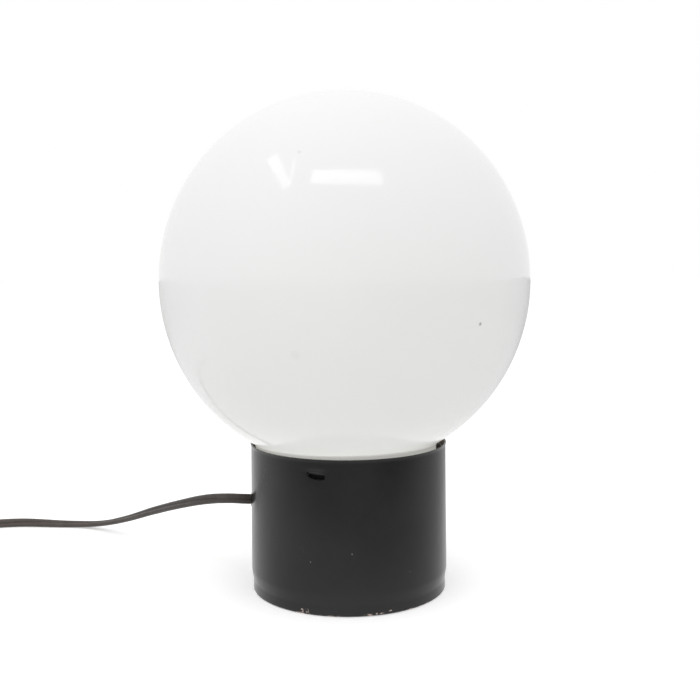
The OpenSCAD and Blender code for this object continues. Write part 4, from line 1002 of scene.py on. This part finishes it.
# Globe pan. A pressed steel pan with a raised middle that keeps the loose glass from wandering. Its wall is
# pierced for the three tabs of the tube, which hold it, and a soft ring on its floor carries the glass.
globe_pan_z, plateau_h = tube_h - 12.3 * mm, 3 * mm
seat_z = globe_pan_z + plateau_h
pan_r, pan_corner = tube_r - wall - 0.05 * mm, 2.4 * mm
plateau_r, gasket_t, gasket_w = 36.7 * mm, 1.5 * mm, 6.6 * mm
rubber_black = (0.014, 0.014, 0.014)
nipple_r, nipple_bore = 5.1 * mm, 3.5 * mm
pan_top, pan_low = globe_pan_z + 8.6 * mm, globe_pan_z - pan_t
nipple_hole = nipple_r + 0.05 * mm
t = np.linspace(0, pi / 2, 8)[:, None]
out_arc = np.hstack([pan_r - pan_corner * (1 - np.sin(t)), pan_low + pan_corner * (1 - np.cos(t))])
in_r = pan_corner - pan_t
in_arc = np.hstack([pan_r - pan_corner + in_r * np.cos(t), globe_pan_z + in_r * (1 - np.sin(t))])
lower = softened([(nipple_hole, seat_z), (nipple_hole, seat_z - pan_t), (plateau_r - pan_t, seat_z - pan_t),
                  (plateau_r - pan_t, pan_low), tuple(out_arc[0])], 0.4 * mm)[1:-1]
upper = softened([tuple(in_arc[-1]), (plateau_r, globe_pan_z), (plateau_r, seat_z), (nipple_hole, seat_z)],
                 0.5 * mm)
edge = softened([tuple(out_arc[-1]), (pan_r, pan_top), (pan_r - pan_t, pan_top), tuple(in_arc[0])])[1:-1]
pan_profile = np.vstack([lower, out_arc, edge, in_arc[:-1], upper])
windows = []
for turn in tab_turns:
    window = block((pan_r - pan_t - mm, -tab_w / 2 - 0.3 * mm, hinge_z - tab_h - 0.3 * mm),
                   (pan_r + mm, tab_w / 2 + 0.3 * mm, hinge_z + 0.3 * mm), 0.5 * mm)
    c, s = cos(turn), sin(turn)
    x, y = window[..., 0], window[..., 1]
    windows.append(grid_mesh(np.stack([x * c - y * s, x * s + y * c, window[..., 2]], -1)))
pan_mesh = carved(grid_mesh(turned(pan_profile, 144), loop=True), windows)
new_piece("globe_pan_pressed", pan_mesh, dark_steel, "dark_steel", "globe_pan")


def soft_rubber(name, colour):
    """Old black rubber: dull, with fine pores and a grey bloom in patches."""
    place, end = new_material(name)
    bloom = ranged(noise(place, 0.01, 5, 0.65), 0.4, 0.75)
    return end(varied(bloom, colour, 1, 3.5), 0.75, Normal=bumped(noise(place, 0.0005, 3, 0.7), 0.00008))


ring_in = pan_r - pan_corner - 0.05 * mm - gasket_w
ring_out, ring_top = ring_in + gasket_w, globe_pan_z + gasket_t
turned_piece("gasket_ring", [(ring_in, globe_pan_z), (ring_out, globe_pan_z), (ring_out, ring_top),
                             (ring_in, ring_top)], 0.6 * mm, soft_rubber("gasket_rubber", rubber_black),
             "black_rubber", "globe_gasket", 144, closed=True)

# Nipple, washer and locknut. A short length of plated threaded tube carries the lampholder on the pan, and a
# hexagon nut on a washer draws it tight from below.
nipple_z, nipple_l = seat_z + 9.6 * mm - 19 * mm, 19 * mm
thread_pitch, thread_deep = 0.94 * mm, 0.45 * mm
washer_r, washer_t = 9.5 * mm, 1 * mm
nut_h, nut_flat, nut_chamfer = 4.2 * mm, 7.15 * mm, 0.7 * mm
washer_z = seat_z - pan_t - washer_t


def threaded(radius, deep, pitch, low, high, bore, rows=6, steps=48):
    """A threaded tube: outside r = radius - deep (1 - cos(2 pi z / pitch - a)) / 2, which climbs as a
    right-hand screw does. Over half a pitch at each end it tapers to radius - deep."""
    z = np.linspace(low, high, int((high - low) / pitch * rows) + 1)[:, None]
    a = round_turn(steps)[None, :]
    fade = np.clip(np.minimum(z - low, high - z) / (0.5 * pitch), 0, 1)
    outside = radius - deep * (1 - fade * (1 + np.cos(2 * pi * z / pitch - a)) / 2)
    r = np.concatenate([outside, bore + 0 * outside[[-1]], bore + 0 * outside[[0]]])
    return polar(r, a, np.concatenate([z, z[[-1]], z[[0]]]))


def hexagon(flat, low, high, bore, chamfer, steps=96):
    """A nut: radius flat / cos(a'), a' the turn from the nearest flat's middle, cut back by a cone at both
    ends, and a plain bore."""
    a = round_turn(steps)[None, :]
    side = flat / np.cos(a % (pi / 3) - pi / 6)
    z = np.array([low, low + chamfer, high - chamfer, high, high, low])[:, None]
    limit = np.array([flat * 1.01, flat * 1.16, flat * 1.16, flat * 1.01, bore, bore])[:, None]
    return polar(np.minimum(side, limit), a, z)


nipple_grid = threaded(nipple_r, thread_deep, thread_pitch, nipple_z, nipple_z + nipple_l, nipple_bore)
new_piece("threaded_nipple", grid_mesh(nipple_grid, loop=True), zinc, "zinc_steel", "nipple", sharp=60)
nut_grid = hexagon(nut_flat, washer_z - nut_h, washer_z, nipple_hole, nut_chamfer)
new_piece("hexagon_nut", grid_mesh(nut_grid, loop=True), zinc, "zinc_steel", "locknut", sharp=20)
turned_piece("plain_washer", [(nipple_hole, washer_z), (washer_r, washer_z), (washer_r, washer_z + washer_t),
                              (nipple_hole, washer_z + washer_t)], 0.2 * mm, zinc, "zinc_steel",
             "lock_washer", closed=True)

# Lampholder. A brass cap screwed on the nipple, a brass shell snapped into it with two rolled beads, a
# fibre sleeve, and in them a moulded brown body with the screw shell, the contact and two terminals.
hub_r, shell_r, shell_t = nipple_r + 1.7 * mm, 16.4 * mm, 0.5 * mm
hub_z = seat_z + 8.6 * mm
shoulder_z = hub_z + 8 * mm
shell_top = shoulder_z + 37 * mm
cap_flat_r = hub_r + 4.6 * mm
body_top = shoulder_z + 13 * mm
screw_in, screw_t, screw_h = 13.33 * mm, 0.4 * mm, 21 * mm
floor_hole_r = 7 * mm
base_pitch, base_deep = 3.629 * mm, 1.1 * mm
bead_out = 0.35 * mm
lacquered_brass = (0.70, 0.50, 0.22)
fibre_grey = (0.30, 0.24, 0.18)
phenolic = (0.055, 0.026, 0.016)
nickel_white = (0.66, 0.64, 0.60)
lacquer = metal("lacquered_brass", lacquered_brass, 0.22, (1, 1, 0.3), 0.7)
turned_piece("holder_cap", [
    (nipple_hole, seat_z), (hub_r, seat_z), (hub_r, hub_z), (cap_flat_r, shoulder_z - shell_t - 1.6 * mm),
    (cap_flat_r + 1.8 * mm, shoulder_z - shell_t), (shell_r + 0.55 * mm, shoulder_z - shell_t),
    (shell_r + 0.55 * mm, shoulder_z + 4.5 * mm), (shell_r + 0.05 * mm, shoulder_z + 4.5 * mm),
    (shell_r + 0.05 * mm, shoulder_z), (cap_flat_r + 1.4 * mm, shoulder_z),
    (cap_flat_r - 0.5 * mm, shoulder_z - 1.6 * mm), (hub_r - 0.6 * mm, hub_z + mm),
    (nipple_hole, hub_z + mm)], 1.2 * mm, lacquer, "socket_brass", "socket_cap", closed=True, arc=7)


def shell_grid():
    """The shell's wall with two beads: the radius stands out by bead exp(-(z / 0.9 mm)^2) at each."""
    z = np.unique(np.concatenate([np.linspace(shoulder_z, shell_top - 0.8 * mm, 24),
                                  *(shoulder_z + at * mm + np.linspace(-2, 2, 13) * mm for at in (8, 33))]))
    out = sum(bead_out * np.exp(-((z - shoulder_z - at * mm) / (0.9 * mm)) ** 2) for at in (8, 33))
    t = np.linspace(0, pi / 2, 6)[1:]
    lip = 0.8 * mm
    line = np.vstack([np.stack([shell_r + out, z], 1),
                      np.stack([shell_r - lip * (1 - np.cos(t)), shell_top - lip * (1 - np.sin(t))], 1)])
    inside = line - [shell_t, 0]
    return turned(np.vstack([line, inside[::-1]]))


new_piece("holder_shell", grid_mesh(shell_grid(), loop=True), lacquer, "socket_brass", "socket_shell")
screw_line = softened([(0.1 * mm, 0), (1.5 * mm, 0), (1.5 * mm, 2.1 * mm), (2.5 * mm, 2.1 * mm),
                       (2.3 * mm, 3.2 * mm), (1.4 * mm, 3.65 * mm), (0.1 * mm, 3.7 * mm)], 0.4 * mm)
screw_slot = block((-4 * mm, -0.3 * mm, 3 * mm), (4 * mm, 0.3 * mm, 5 * mm), 0.05 * mm)
lying = [grid_mesh(np.stack([nipple_hole + grid[..., 2], grid[..., 1], seat_z + 4.3 * mm - grid[..., 0]], -1))
         for grid in (turned(screw_line, 40), screw_slot)]
new_piece("cap_grub_screw", carved(lying[0], [lying[1]]), zinc, "zinc_steel", "cap_screw")


def pressed_fibre(name, colour):
    """Grey-brown vulcanised fibre: felted, with darker strands."""
    place, end = new_material(name)
    strands = noise(place, 0.0012, 5, 0.7, stretch=(1, 1, 3))
    return end(varied(ranged(strands, 0.35, 0.7), colour, 0.7, 1.15), 0.8, Normal=bumped(strands, 0.00008))


sleeve_out, sleeve_in, sleeve_top = shell_r - 0.6 * mm, shell_r - 1.2 * mm, shell_top - 2 * mm
turned_piece("fibre_sleeve", [(sleeve_in, shoulder_z), (sleeve_out, shoulder_z), (sleeve_out, sleeve_top),
                              (sleeve_in, sleeve_top)], 0.15 * mm,
             pressed_fibre("vulcanised_fibre", fibre_grey), "fibre", "shell_sleeve", closed=True)


def threaded_shell(low, high, outer_r, thick, fade_low, fade_high, steps=96):
    """A thin shell rolled into the lamp thread on both faces: the radius is drawn in by
    base_deep (1 - cos(2 pi z / pitch - a)) / 2, which climbs one pitch in a turn, so that the bulb's thread
    stays in the holder's as it unscrews, and dies out towards the ends."""
    z = np.linspace(low, high, int((high - low) / base_pitch * 12) + 1)[:, None]
    a = round_turn(steps)[None, :]
    fade = np.clip(np.minimum((z - low) / fade_low, (high - z) / fade_high), 0, 1)
    out = outer_r - fade * base_deep * (1 - np.cos(2 * pi * z / base_pitch - a)) / 2
    return polar(np.concatenate([out, out[::-1] - thick]), a, np.concatenate([z, z[::-1]]))


nickel = metal("nickel_plate", nickel_white, 0.2, (1, 1, 0.4), 0.8)
screw_top = body_top + screw_h
screw_out, lip_out = screw_in + screw_t, screw_in + 1.5 * mm
wall_part = threaded_shell(body_top + screw_t, screw_top - mm, screw_out, screw_t, 2 * mm, 3 * mm)
floor_line = softened([(floor_hole_r, body_top), (screw_out, body_top), (screw_out, body_top + screw_t),
                       (floor_hole_r, body_top + screw_t)], 0.1 * mm, closed=True)
lip_line = softened([(screw_in, screw_top - mm), (screw_out, screw_top - mm),
                     (screw_out, screw_top - screw_t), (lip_out, screw_top - screw_t), (lip_out, screw_top),
                     (screw_in, screw_top)], 0.2 * mm, closed=True)
new_piece("holder_screw_shell", grid_mesh(wall_part, turned(floor_line), turned(lip_line), loop=True), nickel,
          "contact_brass", "screw_shell")
finish_node("socket_body", moulded("brown_phenolic", phenolic, 0.3, 0.00002))
finish_node("centre_contact", brass)
finish_node("terminal_screws", brass)

# Bulb. A frosted pear bulb: a soldered tip set in black glass, a nickel-plated screw base, and in the glass
# a clear stem with two wires that hold the filament in a half circle.
tip_z, bulb_l, bulb_r = body_top + 1.8 * mm, 108 * mm, 30 * mm
insulator_z, bulb_shell_z = tip_z + 0.7 * mm, tip_z + 4.1 * mm
bulb_shell_r, bulb_shell_t, bulb_shell_h = 13.25 * mm, 0.35 * mm, 20.8 * mm
bulb_neck_r, bulb_t = 12.6 * mm, 0.8 * mm
bulb_mid_z = tip_z + bulb_l - bulb_r
glass_low, glass_out_z = bulb_shell_z + bulb_shell_h - 6 * mm, bulb_shell_z + bulb_shell_h + 0.8 * mm
stem_z, stem_h, stem_r = glass_low + 1.4 * mm, 34 * mm, 3.2 * mm
filament_r, filament_z = 9 * mm, stem_z + 46 * mm
filament_windings, winding_r, filament_wire_r = 30, 0.33 * mm, 0.1 * mm
solder_grey, glass_black = (0.55, 0.55, 0.54), (0.008, 0.008, 0.009)
wire_grey, tungsten_grey = (0.55, 0.53, 0.50), (0.35, 0.34, 0.33)
frost, clear = (0.92, 0.92, 0.91), (0.90, 0.93, 0.92)
turned_piece("bulb_solder_tip", [(0.1 * mm, tip_z), (3.6 * mm, tip_z), (4.5 * mm, insulator_z),
                                 (0.1 * mm, insulator_z)], 0.4 * mm,
             metal("solder", solder_grey, 0.38), "solder", "bulb_tip", 64, body="bulb_end")
plug_r = bulb_shell_r - bulb_shell_t - 0.05 * mm
turned_piece("bulb_black_glass", [
    (0.1 * mm, insulator_z), (4.8 * mm, insulator_z), (plug_r - 0.6 * mm, bulb_shell_z - 0.7 * mm),
    (plug_r - 0.1 * mm, bulb_shell_z), (plug_r - 0.1 * mm, bulb_shell_z + 0.6 * mm),
    (0.1 * mm, bulb_shell_z + 0.6 * mm)], 0.6 * mm, moulded("black_glass", glass_black, 0.12, 0.00001),
    "black_glass", "bulb_insulator", 64, body="bulb")
base_grid = threaded_shell(bulb_shell_z, bulb_shell_z + bulb_shell_h, bulb_shell_r, bulb_shell_t, 1.5 * mm,
                           5 * mm)
new_piece("bulb_screw_base", grid_mesh(base_grid, loop=True), nickel, "bulb_metal", "bulb_shell", body="bulb")


def bulb_line(inset):
    """Half the bulb's outline from the neck up: the radius swells by (1 - cos(pi u)) / 2 up to the widest
    place, and a quarter circle closes the crown."""
    u = np.linspace(0, 1, 40)
    swell = np.stack([bulb_neck_r - inset + (bulb_r - bulb_neck_r) * (1 - np.cos(pi * u)) / 2,
                      glass_out_z + (bulb_mid_z - glass_out_z) * u], 1)
    a = np.linspace(0, pi / 2 - 0.01, 30)[1:]
    crown = np.stack([(bulb_r - inset) * np.cos(a), bulb_mid_z + (bulb_r - inset) * np.sin(a)], 1)
    return np.vstack([[[bulb_neck_r - inset, glass_low]], swell, crown])


def frosted_glass():
    """Glass etched white inside: it lets light through and blurs it, with faint streaks of the acid."""
    place, end = new_material("frosted_glass")
    streaks = noise(place, 0.006, 4, 0.6, stretch=(1, 1, 0.3))
    return end(shade(frost), ranged(streaks, 0.3, 0.7, 0.38, 0.5), Transmission_Weight=0.55, IOR=1.45)


def clear_glass():
    """Clear glass with drawn lines, slightly grey."""
    place, end = new_material("clear_glass")
    cords = noise(place, 0.002, 2, stretch=(1, 1, 0.2))
    return end(shade(clear), 0.05, Transmission_Weight=0.9, IOR=1.5, Normal=bumped(cords, 0.00004))


pear = np.vstack([bulb_line(0), bulb_line(bulb_t)[::-1]])
new_piece("bulb_pear_glass", grid_mesh(turned(pear, 128), loop=True), frosted_glass(), "frosted_glass",
          "bulb_glass", body="bulb")
flare_r = bulb_neck_r - bulb_t - 0.05 * mm
turned_piece("bulb_glass_stem", [
    (0.1 * mm, stem_z), (flare_r, stem_z), (flare_r, stem_z + mm), (stem_r + 1.5 * mm, stem_z + 4 * mm),
    (stem_r, stem_z + 9 * mm), (stem_r, stem_z + stem_h - 2 * mm), (stem_r - mm, stem_z + stem_h),
    (0.1 * mm, stem_z + stem_h)], 1.5 * mm, clear_glass(), "clear_glass", "bulb_stem", 64, body="bulb")
wires = []
for side in (-1, 1):
    foot = stem_z + stem_h + 0.1 * mm
    path = smooth_route([[side * 2, 0, foot / mm, 0], [side * 2.5, 0, foot / mm + 2, 0],
                         [side * filament_r / mm, 0, filament_z / mm, 0]], 6)[:, :3]
    wires.append(round_core(path, 0.3 * mm, steps=10))
new_piece("bulb_support_wires", grid_mesh(*wires), metal("nickel_wire", wire_grey, 0.3), "nickel_wire",
          "filament_wires", body="bulb")
turn = np.linspace(0, pi, 721)
wound = turn * 2 * filament_windings
bow = filament_r + winding_r * np.cos(wound)
helix = polar(bow, turn, filament_z + 0.7 * mm + winding_r * np.sin(wound))
new_piece("bulb_filament_coil", grid_mesh(round_core(helix, filament_wire_r, (0, 0, 1), 5)),
          metal("tungsten", tungsten_grey, 0.4), "tungsten", "filament", body="bulb")

# Globe. One blown shell of opal glass, a little taller than wide, cut and fire-polished at the neck, which
# stands loosely in the mouth of the tube. The glass is milky all through, with a few marks on its skin.
globe_low, globe_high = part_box("globe")
glass_t = 2.6 * mm
neck_r = pan_r - pan_t - 2.05 * mm
neck_fair = 3 * mm
globe_a = (globe_high.x - globe_low.x) / 2
globe_b = 103.6 * mm
globe_x = (globe_high.x + globe_low.x) / 2
globe_mid = globe_high.z - globe_b
opal = (0.840, 0.844, 0.838)
# Painted glow: its colour, its strength on the neck, and how far up the glass it reaches from the mouth.
mouth_glow = (1.0, 1.0, 0.92)
neck_light, glow_reach = 0.27, 56 * mm
warm_white = (0.86, 0.85, 0.82, 1)
# Painted shade behind each tab's slot: its size, radius and height in millimetres.
tab_slot_shade, tab_slot_shade_r, tab_slot_shade_z = (7, 7, 1.9), 49.8, 69.0
# Seeds and smudges in the glass as x, y, z and size in millimetres, how strong and how grey.
glass_marks = ((64, -75.1, 148.5, 0.75, 0.85, 0.3), (-23.8, -93.5, 136.1, 1.9, 0.1, 0.5),
               (-22, -78.8, 231.3, 0.8, 0.3, 0.5), (38, 70, 190, 0.7, 0.6, 0.4))


def glass_line(inset, bend, steps):
    """Radius and height down a face of the glass: the ellipse (a cos t, middle + b sin t) from the crown,
    then (1 - u)^2 E + 2 u (1 - u) C + u^2 N, from its end E past the corner C to N on the neck."""
    a, b, r = globe_a - inset, globe_b - inset, neck_r - inset
    low = -acos(r / a)
    t = np.linspace(pi / 2 - 0.001, low + bend / a, steps)
    belly = np.stack([a * np.cos(t), globe_mid + b * np.sin(t)], 1)
    corner = np.array([r, globe_mid + b * sin(low)])
    u = np.linspace(0, 1, 12)[1:, None]
    fair = (1 - u) ** 2 * belly[-1:] + 2 * u * (1 - u) * corner + u ** 2 * (corner - [0, bend])
    return np.vstack([belly, fair])


def globe_profile():
    """Down the outside, round the lip in a half circle and up the inside."""
    lip_r = glass_t / 2
    t = np.linspace(0, -pi, 13)
    lip = np.stack([neck_r - lip_r + lip_r * np.cos(t), globe_low.z + lip_r + lip_r * np.sin(t)], 1)
    return np.vstack([glass_line(0, neck_fair, 150), lip, glass_line(glass_t, neck_fair + lip_r, 90)[::-1]])


def opal_glass():
    """Milky glass with a wet gloss: a breath of warmth low on the right, faint ripples in its skin, and
    the seeds, smudges and rub marks of an old shade, with painted shade, nearly black, on its neck
    behind each tab's slot. A painted glow, an emission low on the glass, stands in for light that the
    glass carries down through its wall, and keeps the neck pale at the tube's mouth."""
    place, end = new_material("opal_glass")
    warmth = spot(place, (16, -92, 128), (60, 60, 40), 0.9)
    colour = mixed(calc("MULTIPLY", warmth, 0.5), shade(opal), warm_white)
    haze = ranged(noise(place, 0.05, 4, 0.6, 5), 0.35, 0.65)
    colour = mixed(calc("MULTIPLY", haze, 0.25), colour, shade(opal, 0.965))
    for x, y, z, size, share, grey in glass_marks:
        mark = calc("MULTIPLY", spot(place, (x, y, z), (size, size, size), 0.6), share)
        colour = mixed(mark, colour, (grey, grey, grey * 0.96, 1))
    # Painted shade: a nearly black spot on the neck behind each tab's slot, where the glass lies in shade
    # inside the tube.
    for turn in tab_turns:
        behind = (globe_x / mm + tab_slot_shade_r * cos(turn), tab_slot_shade_r * sin(turn), tab_slot_shade_z)
        colour = mixed(spot(place, behind, tab_slot_shade), colour, shade(opal, 0.05))
    height = put("SeparateXYZ", Vector=place).outputs[2]
    # Painted glow: an emission brightest at the tube's mouth, fading up the glass and dying out a few
    # millimetres inside the tube.
    depth = ranged(height, tube_h + glow_reach, tube_h)
    lit = ranged(height, tube_h - 6.5 * mm, tube_h - 2 * mm, 0, neck_light)
    painted_glow = calc("MULTIPLY", calc("POWER", depth, 5.0), lit)
    rubbed = ranged(noise(place, 0.02, 5, 0.7, 8), 0.4, 0.8, 0.07, 0.16)
    return end(colour, rubbed, IOR=1.5, Specular_IOR_Level=0.28, Emission_Color=(*mouth_glow, 1),
               Emission_Strength=painted_glow, Normal=bumped(noise(place, 0.014, 2, 0.5, 3), 0.00008))


new_piece("globe_opal", grid_mesh(turned(globe_profile(), 288, (globe_x, 0))), opal_glass(), "opal_glass",
          "globe", body="globe")
